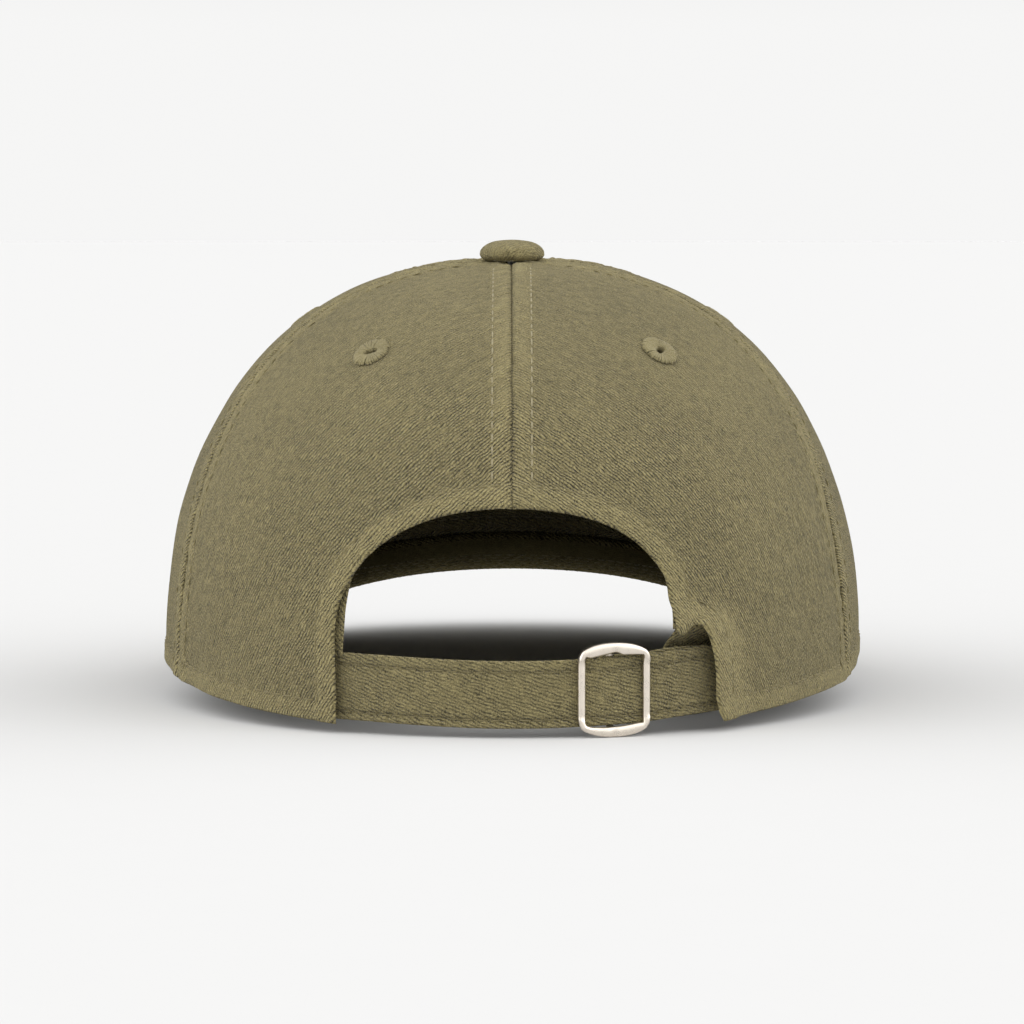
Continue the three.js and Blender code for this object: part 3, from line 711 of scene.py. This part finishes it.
    def add_stitching(self):
        rows, plain = [], []
        for base in (self.start, self.end):
            inward = -1 if (self.middle - base) > 0 else 1
            low = float(climb_to(edge_rise(base)))
            if base == 0:
                low = float(climb_at(self.opening[0, 1]))
            line = self.seam_line(base, low, climb_at(_lengths[-1] - 7))
            (rows if base in (0, self.side * math.pi) else plain).append(line + (inward * SEAM_ROW, 0))
        plain.append(self.hem_line(self.start, self.end) + (0, HEM_ROW))
        if self.opening is not None:
            along = unit(np.gradient(self.opening, axis=0))
            away = np.stack([-along[:, 1], along[:, 0]], -1) * self.side * -1
            plain.append(self.opening + away * ARCH_ROW)
        for word, lines, finish in (("topstitching", rows, THREAD), ("edge_stitching", plain, DARK_THREAD)):
            if lines:
                add_thread(f"{self.name}_{word}", [self.stitch_row(line) for line in lines], finish)

    def stitch_row(self, row):
        row = resample(row, 0.5)
        near, far, hem, opening = self.distances(row)
        keep = (np.minimum(near, far) > 0.9) & (hem > HEM_ROW - 0.4) & (opening > ARCH_ROW - 0.4)
        keep &= inside(row, self.ring())
        path, normal = self.surface(row)
        return stitches(path, normal, keep)


def seam_relief(d, along, base, way):
    """A sewn seam: a wandering crease between two raised allowances, each held down by a stitch row."""
    off = d - way * 0.36 * (noise_on(along, 0.0, 2.4, base + 7) + 0.7 * noise_on(along, 0.0, 9.0, base + 8))
    window = smooth(d, 0.05, 0.6) * (1 - smooth(d, 3.5, 8.5))
    pucker = 0.3 * noise_on(along + 0.7 * d, 0.35 * d, 2.0, base + d.mean()) * window
    ridge = 0.34 * smooth(d, 0.0, 1.2) * (1 - smooth(d, 4.9, 6.4))
    knot = 0.55 + 0.8 * noise_on(along, 0.0, 1.3, base)
    if base == 0:
        crease = -0.55 * (1 - 0.35 * smooth(along, 80, 110))
    else:
        crease = -0.5 * (0.7 + 0.5 * noise_on(along, 0.0, 16, base + 3))
    return crease * knot * np.exp(-((off / 0.3) ** 2)) + ridge - 0.25 * bell(d, SEAM_ROW, 0.5) + pucker


def edge_relief(d, along, row, seed, height):
    """A folded and stitched edge, rounded at its nose."""
    nose = FOLDED / 2
    drop = -nose * (1 - np.sqrt(np.clip(1 - np.clip(1 - d / nose, 0, 1) ** 2, 0, 1)))
    window = smooth(d, 0.1, 1.2) * (1 - smooth(d, row, row + 4))
    pucker = 0.2 * noise_on(along + 0.5 * d, 0.3 * d, 2.4, seed) * window
    ridge = height * (1 - smooth(d, row - 0.3, row + 1.2))
    wavy = row + 0.25 * noise_on(along, 0.0, 4.0, seed + 5)
    return drop + ridge + pucker - 0.32 * bell(d, wavy, 0.55)


def add_crown():
    """Six panels, each with an eyelet."""
    seams = (0.0, BACK_SEAM, FRONT_SEAM, math.pi)
    for word, side in (("left", 1), ("right", -1)):
        for k, row in enumerate(("back", "side", "front")):
            eyelet = math.radians(EYELET_ANGLES[row][side < 0])
            panel = Panel(f"{row}_{word}", side, seams[k], seams[k + 1], eyelet)
            panel.build()
            add_eyelet(panel)


# ---------------------------------------------------------------- eyelets and button

def frame_at(angle, climb):
    """Origin, rightward, upward and outward directions on the crown, as seen from outside."""
    a, c = np.array([float(angle)]), np.array([float(climb)])
    out = crown_normal(a, c)[0]
    right = unit(crown(a - 1e-3, c)[0] - crown(a + 1e-3, c)[0])
    return crown(a, c)[0], right, np.cross(out, right), out


def add_eyelet(panel):
    """Satin thread worked over the edge of a small hole, on a low padded ring."""
    angle, climb = panel.eyelet
    centre, right, up, out = frame_at(angle, climb)
    centre = centre + out * (float(panel.lift(panel.flat(np.array([angle]), np.array([climb])))) - 0.25)
    rng = np.random.default_rng(int(abs(panel.seed) * 100) + (panel.side > 0))
    turn = np.arange(EYELET_THREADS) * TAU / EYELET_THREADS + rng.normal(0, 0.02, EYELET_THREADS)
    reach = EYELET_RADIUS + rng.normal(0, 0.13, EYELET_THREADS)
    hole = EYELET_HOLE * (1 + 0.45 * np.cos(2 * (turn - 0.5))) + rng.normal(0, 0.07, EYELET_THREADS)
    share = np.linspace(0, 1, 9)
    radius = hole[:, None] + (reach - hole)[:, None] * share
    rise = 0.5 + 0.3 * np.sin(math.pi * np.clip(share * 0.92 + 0.06, 0, 1)) ** 0.7
    rise = np.where(share == 0, -0.5, np.where(share == 1, 0.25, rise))
    rise = rise[None, :] + 0.3 * panel_dome(radius)
    flat = np.cos(turn)[:, None, None] * right + np.sin(turn)[:, None, None] * up
    paths = centre + radius[..., None] * flat + rise[..., None] * out
    width = 0.27 * np.clip(radius / 3.4, 0.5, 1.05)
    parts = [tubes(paths, np.broadcast_to(out, paths.shape), width, sides=5)]
    rim = [(1.6, -0.9), (1.6, -0.1), (2.3, 0.25), (3.4, 0.25), (4.0, -0.1), (4.1, -0.5), (2.4, -0.9)]
    rim = np.array(rim)
    spin = np.linspace(0, TAU, 40, endpoint=False)
    ring = np.cos(spin)[:, None] * right + np.sin(spin)[:, None] * up
    core = centre + rim[:, None, :1] * ring + rim[:, None, 1:] * out
    parts.append((core.reshape(-1, 3), loop_faces(40, len(rim))))
    add_thread(f"{panel.name}_eyelet_embroidery", parts, EYELET_THREAD, nodes=[f"{panel.name}_eyelet"])


def panel_dome(radius):
    """The crown falls away from its tangent plane by about this much at a radius."""
    return -(radius**2) / 190.0


def loop_faces(columns, rows):
    """Quads of a torus-like grid: every row closes, and the last row joins the first."""
    faces = grid_faces(columns, rows + 1, closed=True) % (columns * rows)
    return faces[:, ::-1].tolist()


def add_button():
    """A twill-covered button: a flattened dome whose cloth is gathered in under its rim."""
    top = crown(np.array([0.0]), np.array([math.pi / 2]))[0]
    tilt = LEAN - math.radians(4)
    out = np.array([0, math.sin(tilt), math.cos(tilt)])
    top = top + 0.75 * out
    right = np.array([-1.0, 0, 0])
    up = np.cross(out, right)
    rings, spokes = 30, 120
    turn = np.linspace(0, TAU, spokes, endpoint=False)
    s = np.linspace(0, 1, rings)
    # Down the profile: across the flattened top, round the shoulder, under the rim.
    bend = s * 1.28 * math.pi / 2
    past = bend - math.pi / 2
    radius = BUTTON_RADIUS * np.where(past < 0, np.sin(bend) ** 0.82, 1 - 0.9 * past**2)
    height = np.where(past < 0, 1.75 + 3.65 * np.cos(bend).clip(0) ** 0.86, 1.75 - 3.3 * past)
    c, n = np.cos(turn)[None, :], np.sin(turn)[None, :]
    swirl = turn[None, :] + 0.5 * np.sign(c) * (s[:, None] - 1)
    gather = noise_on(np.cos(swirl) * 3.2, np.sin(swirl) * 3.2, 0.45, 4.0) * smooth(s, 0.35, 0.8)[:, None]
    fold = 0.42 * gather + 0.13 * noise_on(c * radius[:, None], n * radius[:, None], 3.5, 9.0)
    radius, height = radius[:, None] + fold, height[:, None] + 0.5 * fold * (1 - smooth(s, 0.6, 0.9))[:, None]
    points = top + radius[..., None] * (c[..., None] * right + n[..., None] * up) + height[..., None] * out
    faces = grid_faces(spokes, rings, closed=True)[:, ::-1].tolist()
    faces.append(list(range((rings - 1) * spokes, rings * spokes))[::-1])
    arc = running_length(np.stack([radius[:, 0], height[:, 0]], -1))[:, None]
    weave = weave_of(c * arc, n * arc)
    # The gathers' relief paints shade: the cloth is drawn darker in their hollows and paler on the folds, as
    # wear.
    add_piece("button_cloth", points.reshape(-1, 3), faces, TWILL, "twill", nodes=["button_cover"],
              weave=weave.reshape(-1, 3), proud=np.clip(fold, -0.4, 0.4).ravel() + 0.1,
              crisp=np.full(fold.size, 0.3))


# ---------------------------------------------------------------- bands: straps, sweatband, tapes

def rounded_section(count, width, thick):
    """A flat band's cross-section as (along its width, depth below its outer face) with round edges."""
    edge = thick / 2
    inner = np.linspace(edge, width - edge, count)
    turn = np.linspace(0, math.pi, 7)[1:-1]
    far = np.stack([width - edge + edge * np.sin(turn), edge - edge * np.cos(turn)], -1)
    near = np.stack([edge - edge * np.sin(turn), edge + edge * np.cos(turn)], -1)
    outer_face = np.stack([inner, 0 * inner], -1)
    inner_face = np.stack([inner[::-1], 0 * inner + thick], -1)
    return np.concatenate([outer_face, far, inner_face, near])


def sweep(rows, columns):
    """Closed-section sweep's faces, with both ends capped; points are stored section by section."""
    faces = grid_faces(rows, columns, closed=True)[:, ::-1].tolist()
    last = (columns - 1) * rows
    return faces + [list(range(rows)), list(range(last, last + rows))[::-1]]


def band(name, place, length, width, thick, finish, slot, nodes, step, puff, seed, body="cap", rows=()):
    """A strip of cloth. place(s, w, depth) gives points from along, across and depth; rows are stitch lines."""
    at = np.linspace(0, length, max(8, int(length / step)))
    section = rounded_section(max(6, int(width / min(0.8, 0.5 * step))), width, thick)
    s, w = np.meshgrid(at, section[:, 0], indexing="ij")
    depth = np.broadcast_to(section[:, 1], s.shape)
    lift = puff * noise_on(s, w, 6.0, seed) + 0.4 * puff * noise_on(s, w, 2.4, seed + 1)
    for row in rows:
        pucker = noise_on(s, 0.0, 2.2, seed + row)
        lift = lift - (0.5 + 0.2 * pucker) * bell(w, row, 0.45) + 0.14 * pucker * bell(w, row, 1.8)
    face_side = np.where(depth < thick / 2, 1.0, -1.0)
    points = place(s, w, depth - lift * face_side)
    # Painted shade: the stitch rows' dips are drawn darker; the puffs between them are drawn paler, as wear.
    add_piece(name, points.reshape(-1, 3), sweep(len(section), len(at)), finish, slot, body=body, nodes=nodes,
              weave=weave_of(s, w, BAND_GRAIN).reshape(-1, 3), proud=np.clip(lift.ravel(), -0.5, 0.4))


def strap_bottom(angle):
    """Height of the long strap's lower edge: it hangs a little in the middle and climbs into the pocket."""
    sag = -0.95 * np.cos(np.clip(angle / math.radians(32), -1, 1) * math.pi / 2) ** 2
    return STRAP_BOTTOM + sag + 1.3 * smooth(angle, math.radians(20), math.radians(38))


def on_strap_arc(angle, radius, z):
    return np.stack([-radius * np.sin(angle), STRAP_AXIS_Y + radius * np.cos(angle), z], -1)


def add_long_strap():
    span = (STRAP_TAIL_END - STRAP_SEWN_END) * STRAP_RADIUS

    def place(s, w, depth):
        angle = STRAP_SEWN_END + s / STRAP_RADIUS
        return on_strap_arc(angle, STRAP_RADIUS - depth, strap_bottom(angle) + w)

    band("long_strap_cloth", place, span, STRAP_WIDTH, STRAP_THICKNESS, STRAP_TWILL, "twill", ["long_strap"],
         rows=STRAP_ROWS, step=0.7, puff=0.13, seed=5.0)
    s = np.arange(1, span - 1, 0.5)
    parts = []
    for row in STRAP_ROWS:
        path = place(s, row, 0.0)
        parts.append(stitches(path, unit(place(s, row, -1.0) - path), radius=0.16, sunk=0.4))
    add_thread("long_strap_topstitching", parts, DARK_THREAD)


def add_short_strap():
    """A doubled strap that loops round the buckle's bar and tucks in behind the long strap."""
    front = STRAP_RADIUS - STRAP_THICKNESS - 0.3
    low = STRAP_BOTTOM + 0.3

    def outer(s, w, depth):
        angle = SHORT_STRAP_START + s / front
        climb = 1.5 * smooth(angle, math.radians(18), math.radians(30))
        return on_strap_arc(angle, front - depth, low + climb + w)

    span = (SHORT_STRAP_END - SHORT_STRAP_START) * front
    band("short_strap_cloth", outer, span, SHORT_STRAP_WIDTH, STRAP_THICKNESS, STRAP_TWILL, "twill",
         ["short_strap"], body="buckle", rows=(1.8, SHORT_STRAP_WIDTH - 2.3), step=0.8, puff=0.08, seed=6.0)
    wrap = short_strap_loop(front)
    length, index = float(running_length(wrap)[-1]), np.arange(len(wrap))
    ahead = unit(np.gradient(wrap, axis=0))

    def around(s, w, depth):
        at = np.clip(s / length, 0, 1) * (len(wrap) - 1)
        x, y, dx, dy = (np.interp(at, index, values) for values in (*wrap.T, *ahead.T))
        return np.stack([x + depth * dy, y - depth * dx, low + w], -1)

    band("short_strap_loop", around, length, SHORT_STRAP_WIDTH, LOOP_THICKNESS, STRAP_TWILL, "twill", [],
         body="buckle", step=0.5, puff=0.05, seed=7.0)


def short_strap_loop(front):
    """Plan of the strap's end: round the bar from its front, and back along the inside.

    Each point is an angle from the bar in degrees and a depth behind the strap's front.
    """
    near = [(2.6, 0.6), (1.2, 0.6), (0.0, 0.6)]
    nose = [(-1.5, 1.0), (-1.85, 1.35), (-1.4, 2.45)]
    back = [(0.0, 3.75), (2.5, 3.6), (5.0, 2.5), (7.5, 2.15), (9.5, 2.1)]
    angle, depth = np.array(near + nose + back).T
    line = on_strap_arc(BUCKLE_ANGLE + np.radians(angle), front - depth, 0 * angle)[:, :2]
    return resample(resample(line, 0.8), 0.4)[::-1]


# ---------------------------------------------------------------- buckle

def on_buckle(x, out, z):
    """Buckle coordinates, along the strap, outward and up, to the fit frame."""
    c, s = math.cos(BUCKLE_ANGLE), math.sin(BUCKLE_ANGLE)
    return np.stack([x * c - out * s, STRAP_AXIS_Y + x * s + out * c, BUCKLE_CENTRE + z], -1)


def rounded_rectangle(half_width, half_height, radius):
    """A rounded rectangle's points, as many on each side and corner whatever its size."""
    steps = np.linspace(-0.98, 0.98, 20)
    arc = np.linspace(0, math.pi / 2, 12)
    w, h = half_width - radius, half_height - radius
    out = []
    for quarter in range(4):
        across, along = (w, h) if quarter % 2 == 0 else (h, w)
        side = np.stack([np.full_like(steps, across + radius), along * steps], -1)
        corner = np.stack([across + radius * np.cos(arc), along + radius * np.sin(arc)], -1)
        a = quarter * math.pi / 2
        turn = np.round([[math.cos(a), math.sin(a)], [-math.sin(a), math.cos(a)]])
        out.append(np.concatenate([side, corner]) @ turn)
    return np.concatenate(out)


def add_buckle_frame():
    """A cast ring: slim flat side rails, and domed crescent rails above and below."""
    outer = rounded_rectangle(BUCKLE_HALF[0], BUCKLE_HALF[1] - BUCKLE_CRESCENT, 1.3)
    window = rounded_rectangle(WINDOW_HALF[0], WINDOW_HALF[1] - 0.3, 0.35)
    up = np.sign(outer[:, 1])
    share = outer[:, 0] / BUCKLE_HALF[0]
    outer[:, 1] += up * BUCKLE_CRESCENT * np.clip(1 - np.abs(share) ** 2.2, 0, 1) ** 0.62
    rail = smooth(np.abs(window[:, 1]) / WINDOW_HALF[1], 0.8, 0.96)
    share = window[:, 0] / WINDOW_HALF[0]
    # The top rail's lower edge rises to a notch past the middle; the bottom rail sags to the left.
    notch = np.where(share > -0.05, 0.7 - 1.45 * (share + 0.05), 0.7 * (1 - smooth(-share, 0.05, 0.28)))
    sag = -0.6 * np.cos(share * math.pi / 2) - 0.1 - 0.4 * share
    window[:, 1] += np.where(up > 0, notch, sag) * rail * (1 - np.abs(share) ** 12)
    centre, half = (outer + window) / 2, (outer - window) / 2
    thick = 0.6 + 0.35 * rail * (up > 0) + 0.1 * rail
    butt = 1 - 0.35 * bell(centre[:, 0], 0.4, 0.22) * rail * (up < 0)
    section = 20
    around = np.linspace(0, TAU, section, endpoint=False)
    across, rise = np.cos(around), np.sin(around)
    bow = np.sign(across) * np.abs(across) ** 0.6
    dome = np.where(rise > 0, np.abs(rise) ** 0.9, -0.8 * np.abs(rise) ** 0.5)
    flat = centre[:, None] + half[:, None] * bow[None, :, None]
    out = BUCKLE_BACK + 0.6 + dome[None, :] * (thick * butt)[:, None] + 0.15 * rail[:, None]
    points = on_buckle(flat[..., 0], out, flat[..., 1])
    add_piece("buckle_ring", points.reshape(-1, 3), loop_faces(section, len(centre)), NICKEL, "nickel",
              body="buckle", nodes=["buckle_frame"])


def add_buckle_bar():
    """The bar behind the straps: a flat wire that bends forward to the top and bottom rails."""
    front, back = BUCKLE_BACK - 0.15, 75.3
    upper = [(front, 9.9), (front - 1.2, 9.8), (back + 0.5, 9.3), (back, 8.3)]
    lower = [(back, 0), (back, -8.3), (back + 0.5, -9.4), (front - 1.2, -10.1), (front, -10.2)]
    line = np.array(upper + lower)
    line = resample(resample(line, 1.2), 0.5)
    around = np.linspace(0, TAU, 12, endpoint=False)
    ahead = unit(np.gradient(line, axis=0))
    side = np.stack([-ahead[:, 1], ahead[:, 0]], -1)
    x = np.broadcast_to(0.95 * np.cos(around), (len(line), 12))
    wall = line[:, None] + side[:, None] * (0.55 * np.sin(around))[None, :, None]
    points = on_buckle(x, wall[..., 0], wall[..., 1])
    add_piece("buckle_bar_wire", points.reshape(-1, 3), sweep(12, len(line)), NICKEL, "nickel", body="buckle",
              nodes=["buckle_bar"])


# ---------------------------------------------------------------- inside the crown

def sweatband_ease(angle):
    """How much deeper the sweatband hangs at the rear, and most where the pocket holds the straps."""
    from_back = np.arccos(np.cos(angle))
    deg = np.degrees(from_back)
    rear = 1.5 * (1 - smooth(deg, 55, 80))
    pocket = 4.3 * (1 - smooth(deg, 66, 88)) * smooth(deg, 26, 32)
    return rear + np.where(np.sin(angle) < 0, pocket, 0)


def crown_band(start, end, bottom, depth):
    """A place function for a band that follows the crown's lower edge from one angle to another."""
    def place(s, w, below):
        angle = start + s / MEAN_RADIUS
        return crown(angle, climb_to(edge_rise(angle) + bottom + w), depth(angle) + below)
    return place, (end - start) * MEAN_RADIUS


def add_sweatband():
    place, length = crown_band(SWEATBAND_END, TAU - SWEATBAND_END, 0.8, lambda a: 3.8 + sweatband_ease(a))
    band("sweatband_cloth", place, length, SWEATBAND_HEIGHT, SWEATBAND_THICKNESS, BAND_TWILL,
         "sweatband_twill", ["sweatband_cover"], rows=SWEATBAND_ROWS, step=1.6, puff=0.15, seed=11.0)
    s = np.arange(2, length - 2, 0.6)
    parts = []
    for row in SWEATBAND_ROWS:
        path = place(s, row, SWEATBAND_THICKNESS - 0.1)
        parts.append(stitches(path, unit(place(s, row, SWEATBAND_THICKNESS + 1) - path)))
    add_thread("sweatband_topstitching", parts, THREAD)
    place, length = crown_band(math.radians(92), TAU - math.radians(92), 2.0, lambda a: 2.8)
    band("sweatband_felt", place, length, SWEATBAND_HEIGHT - 4, 0.5, FELT, "padding", ["sweatband_padding"],
         step=2.5, puff=0.05, seed=12.0)


def tape_place(angle, bottom):
    def place(s, w, depth):
        climb = climb_at(bottom + s)
        turn = (w - TAPE_WIDTH / 2) / (MEAN_RADIUS * radius_share(climb))
        return crown(seam_angle(angle, climb) + turn, climb, TAPE_DEPTH + depth)
    return place


def tape(name, place, length, node, seed):
    band(name, place, length, TAPE_WIDTH, 0.5, TAPE, "tape", [node], rows=(2.0, 10.0), step=2.0, puff=0.06,
         seed=seed)


def add_tapes():
    """Twill tape over the seam allowances, inside."""
    reach = _lengths[-1] - TAPE_LEFT_AT_TOP
    for side, word in ((1, "left"), (-1, "right")):
        for angle, row in ((BACK_SEAM, "back"), (FRONT_SEAM, "front")):
            bottom = float(length_at(climb_to(edge_rise(angle) + 3)))
            tape(f"{row}_{word}_tape_cloth", tape_place(side * angle, bottom), reach - bottom,
                 f"{row}_{word}_seam_tape", angle + side)
    rear = float(length_at(climb_to(ARCH_SPRING + ARCH_RISE + 9)))
    front = float(length_at(climb_to(FRONT_RISE + 3)))
    total = 2 * _lengths[-1] + 2 * TOP_RADIUS - rear - front

    def over(s, w, depth):
        top = _lengths[-1] - rear + TOP_RADIUS
        climb = climb_at(_lengths[-1] - np.maximum(np.abs(s - top) - TOP_RADIUS, 0))
        reach = np.sign(top - s) * radius_share(climb) * HALF_LENGTH
        reach = np.where(np.abs(s - top) < TOP_RADIUS, (top - s) * HALF_LENGTH / HALF_WIDTH, reach)
        share = 1 - (TAPE_DEPTH + depth) / HALF_LENGTH
        height = (RISE - TAPE_DEPTH - depth) * np.sin(climb) ** (2 / PROFILE)
        return lean(w - TAPE_WIDTH / 2, reach * share, height)

    tape("centre_tape_cloth", over, total, "centre_seam_tape", 3.3)


def rear_sheet(name, section, at, place, slot, nodes=()):
    """A sheet behind the rear wall. place(w) gives x, height and depth along the line at w across it."""
    lines = []
    for w, depth in section:
        x, height, sink = place(w)
        angle, climb = on_crown(x, height)
        lines.append(crown(angle, climb) - (sink + depth)[:, None] * crown_normal(angle, climb))
    points = np.stack(lines, 1).reshape(-1, 3)
    u, v = np.tile(section[:, 0], len(at)), np.repeat(at, len(section))
    add_piece(name, points, sweep(len(section), len(at)), TWILL, slot, nodes=nodes, weave=weave_of(u, v),
              proud=0 * u)


def add_facing():
    """The facing sewn round the inside of the rear opening."""
    turn = np.linspace(0, math.pi, 160)
    c, s = np.cos(turn), np.sin(turn)

    def place(w):
        # It peeps out past the cloth only low down on the wearer's left.
        grow = w + 0.9 - 1.7 * smooth(c, 0.9, 1.0)
        x = (ARCH_HALF_WIDTH + grow) * np.sign(c) * np.abs(c) ** (2 / ARCH_POWER)
        foot = np.where(c > 0, -3.5, 3.0) * smooth(np.abs(c), 0.93, 1.0)
        height = ARCH_SPRING + foot + (ARCH_RISE + grow) * s ** (2 / ARCH_POWER)
        return x + opening_skew(x, height), height, 1.75 + 0.12 * noise_on(turn * 40, w, 3.0, 8.0)

    rear_sheet("rear_facing_cloth", rounded_section(9, 8.0, 0.6), turn * 40, place, "tape",
               ["rear_arch_facing"])


def add_pocket_lining():
    """The inner layer that carries the opening's edge down behind the straps, at the pocket."""
    heights = np.linspace(0.4, 24.5, 40)

    def place(w):
        edge = 38.8 + 1.0 * (1 - smooth(heights, 2, 18))
        sink = 1.5 + 6.2 * (1 - smooth(heights, 17.5, 24.5)) + 0.2 * noise_on(heights, w, 5.0, 2.0)
        return -(edge + w), heights, sink

    rear_sheet("pocket_lining_cloth", rounded_section(14, 15.0, 0.9), heights, place, "twill")


# ---------------------------------------------------------------- visor

def visor_height(x, y):
    return VISOR_ROOT_HEIGHT + VISOR_SLOPE * (y + HALF_LENGTH) - (VISOR_BEND * x**2 + VISOR_EDGE_BEND * x**4)


def visor_root(across):
    angle = math.pi - across * VISOR_SPREAD
    return crown(angle, climb_to(edge_rise(angle) + 0.7), 1.7)


def visor_edge(across):
    xy = bezier_at(1 - np.abs(across), *VISOR_EDGE)
    corner = visor_root(np.array([1.0]))[0, 2] - visor_height(*VISOR_EDGE[0])
    z = visor_height(xy[..., 0], xy[..., 1]) + corner * across**4
    return np.stack([np.sign(across) * xy[..., 0], xy[..., 1], z], -1)


def visor_middle(across, out):
    root, edge = visor_root(across), visor_edge(across)
    return root + (edge - root) * out[..., None]


def visor_normal(across, out):
    step = 1e-3
    sideways = visor_middle(across + step, out) - visor_middle(across - step, out)
    forward = visor_middle(across, out + step) - visor_middle(across, out - step)
    return unit(np.cross(forward, sideways))


def visor_grid():
    across = np.sin(np.linspace(-1, 1, 241) * math.pi / 2) * 0.6 + np.linspace(-1, 1, 241) * 0.4
    out = 1 - np.linspace(1, 0, 90) ** 1.35
    return np.meshgrid(across, out, indexing="ij")


def add_visor():
    """Upper and under covers that meet in a rolled edge, puffed between rows of stitching."""
    across, out = visor_grid()
    middle, normal = visor_middle(across, out), visor_normal(across, out)
    line = visor_edge(np.linspace(-1, 1, 400))[:, :2]
    from_edge = chunked(lambda q: distance_to(q, line), middle[..., :2].reshape(-1, 2)).reshape(across.shape)
    dips = sum(bell(from_edge, row, 0.7) for row in VISOR_ROWS)
    lengths = np.cumsum(np.linalg.norm(np.diff(middle, axis=1, prepend=middle[:, :1]), axis=2), axis=1)
    puff = (0.16 * noise_at(middle, 9.0, 14.0) - 0.28 * dips) * smooth(lengths, 1.5, 6)
    nose = VISOR_THICK / 2
    curl = nose * (1 - np.sqrt(np.clip(1 - np.clip(1 - from_edge / nose, 0, 1) ** 2, 0, 1)))
    faces = grid_faces(across.shape[1], across.shape[0])
    closing = nose * (1 - smooth(lengths, 0.3, 1.5))
    skin = curl - puff * (from_edge > nose)
    lining = np.minimum(curl + VISOR_COVER + closing, nose - 0.02)
    weave = np.concatenate([weave_of(across * 95, lengths + rise).reshape(-1, 3) for rise in (0, 3)])
    # Painted shade: the dips at the stitch rows darken the visor's twill; the puffs pale it, as wear.
    proud = np.tile(np.clip(puff.ravel(), -0.3, 0.2), 2)
    for word, sign, top, finish in (("upper", 1, 0.0, TWILL), ("under", -1, VISOR_THICK, UNDER_TWILL)):
        outer, inner = (middle - (top + sign * depth)[..., None] * normal for depth in (skin, lining))
        points, sides = shell(outer.reshape(-1, 3), inner.reshape(-1, 3), faces[:, ::-sign])
        add_piece(f"visor_{word}_cloth", points, sides, finish, "twill", nodes=[f"visor_{word}_cover"],
                  weave=weave, proud=proud)
        rows = [stitches(*visor_row(row, across, out, from_edge, top, sign)) for row in VISOR_ROWS]
        add_thread(f"visor_{word}_topstitching", rows, THREAD)


def visor_row(row, across, out, from_edge, depth, sign):
    """The line at a distance from the visor's edge, and its outward normals."""
    columns = [k for k in range(len(across)) if from_edge[k].max() > row + 1.0]
    where = np.array([np.interp(-row, -from_edge[k], out[k]) for k in columns])
    line = across[columns, 0]
    normal = visor_normal(line, where)
    path = visor_middle(line, where) - (depth + sign * 0.12) * normal
    keep = np.concatenate([[True], np.linalg.norm(np.diff(path, axis=0), axis=1) > 1e-6])
    return path[keep], (normal * sign)[keep]


def finish_cad_node(name, finish):
    """Gives a CAD node that stays in view its material."""
    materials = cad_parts[name].data.materials
    materials.clear()
    materials.append(finish)


# ---------------------------------------------------------------- stage

def add_camera():
    """The photograph's view: level with the rear opening from a metre behind, a little above it."""
    elevation, distance, raised = math.radians(6.5), 1000.0, math.radians(2.49)
    data = bpy.data.cameras.new("camera")
    data.sensor_width, data.lens = 36.0, 139.4
    data.clip_start, data.clip_end = 0.05, 200.0
    camera = bpy.data.objects.new("camera", data)
    place = np.array([0, distance * math.cos(elevation), distance * math.sin(elevation)])
    camera.location = (place + ORIGIN) * MM
    camera.rotation_euler = (math.pi / 2 - elevation + raised, 0, math.pi)
    bpy.context.collection.objects.link(camera)
    bpy.context.scene.camera = camera


def add_floor():
    s = Shader("pale_floor")
    place = s.node("TexCoord", {}, output="Object")
    grain = s.noise(place, 60.0)
    low, high = ((FLOOR_TONE * share,) * 3 for share in (0.99, 1.01))
    shade = s.ramp(s.sum((0.5, 1.0), (0.1, grain)), (0.0, low), (1.0, high))
    s.node("OutputMaterial", {"Surface": s.node("BsdfDiffuse", {"Color": shade})})
    mesh = bpy.data.meshes.new("floor")
    corners = [(x * FLOOR_HALF, y * FLOOR_HALF, 0) for x, y in ((-1, -1), (1, -1), (1, 1), (-1, 1))]
    mesh.from_pydata(corners, [], [(0, 1, 2, 3)])
    mesh.materials.append(s.owner)
    floor = bpy.data.objects.new("floor", mesh)
    bpy.context.collection.objects.link(floor)


def add_light():
    """A soft studio sky: a pale band at the horizon, and a wide key from above and behind the camera."""
    world = bpy.data.worlds.new("studio")
    bpy.context.scene.world = world
    s = Shader(world)
    direction = s.node("TexCoord", {}, output="Generated")
    facing = s.dot(direction, (0, math.cos(KEY_ELEVATION), math.sin(KEY_ELEVATION)))
    lobe = s.math("POWER", s.math("MAXIMUM", facing, 0.0), KEY_WIDTH)
    sideways, rise = s.dot(direction, (1, 0, 0)), s.dot(direction, (0, 0, 1))
    sky = s.sum((FILL, 1.0), (SIDES, s.math("MULTIPLY", sideways, sideways)), (KEY_STRENGTH, lobe))
    above = s.node("MapRange", {"Value": rise, "From Min": 0.05, "From Max": 0.16},
                   interpolation_type="SMOOTHSTEP")
    strength = s.node("Mix", {0: above, 2: HORIZON, 3: sky}, data_type="FLOAT")
    sky_light = s.node("Background", {"Color": (1.0, 0.998, 0.992, 1), "Strength": strength})
    s.node("OutputWorld", {"Surface": sky_light})
    bpy.context.scene.view_settings.view_transform = "Standard"


add_camera()
add_floor()
add_light()
add_crown()
add_button()
add_long_strap()
add_short_strap()
add_buckle_frame()
add_buckle_bar()
add_sweatband()
add_tapes()
add_facing()
add_pocket_lining()
add_visor()
for name in ("button_shell", "button_post", "button_washer"):
    finish_cad_node(name, STEEL)
finish_cad_node("visor_board", BOARD)
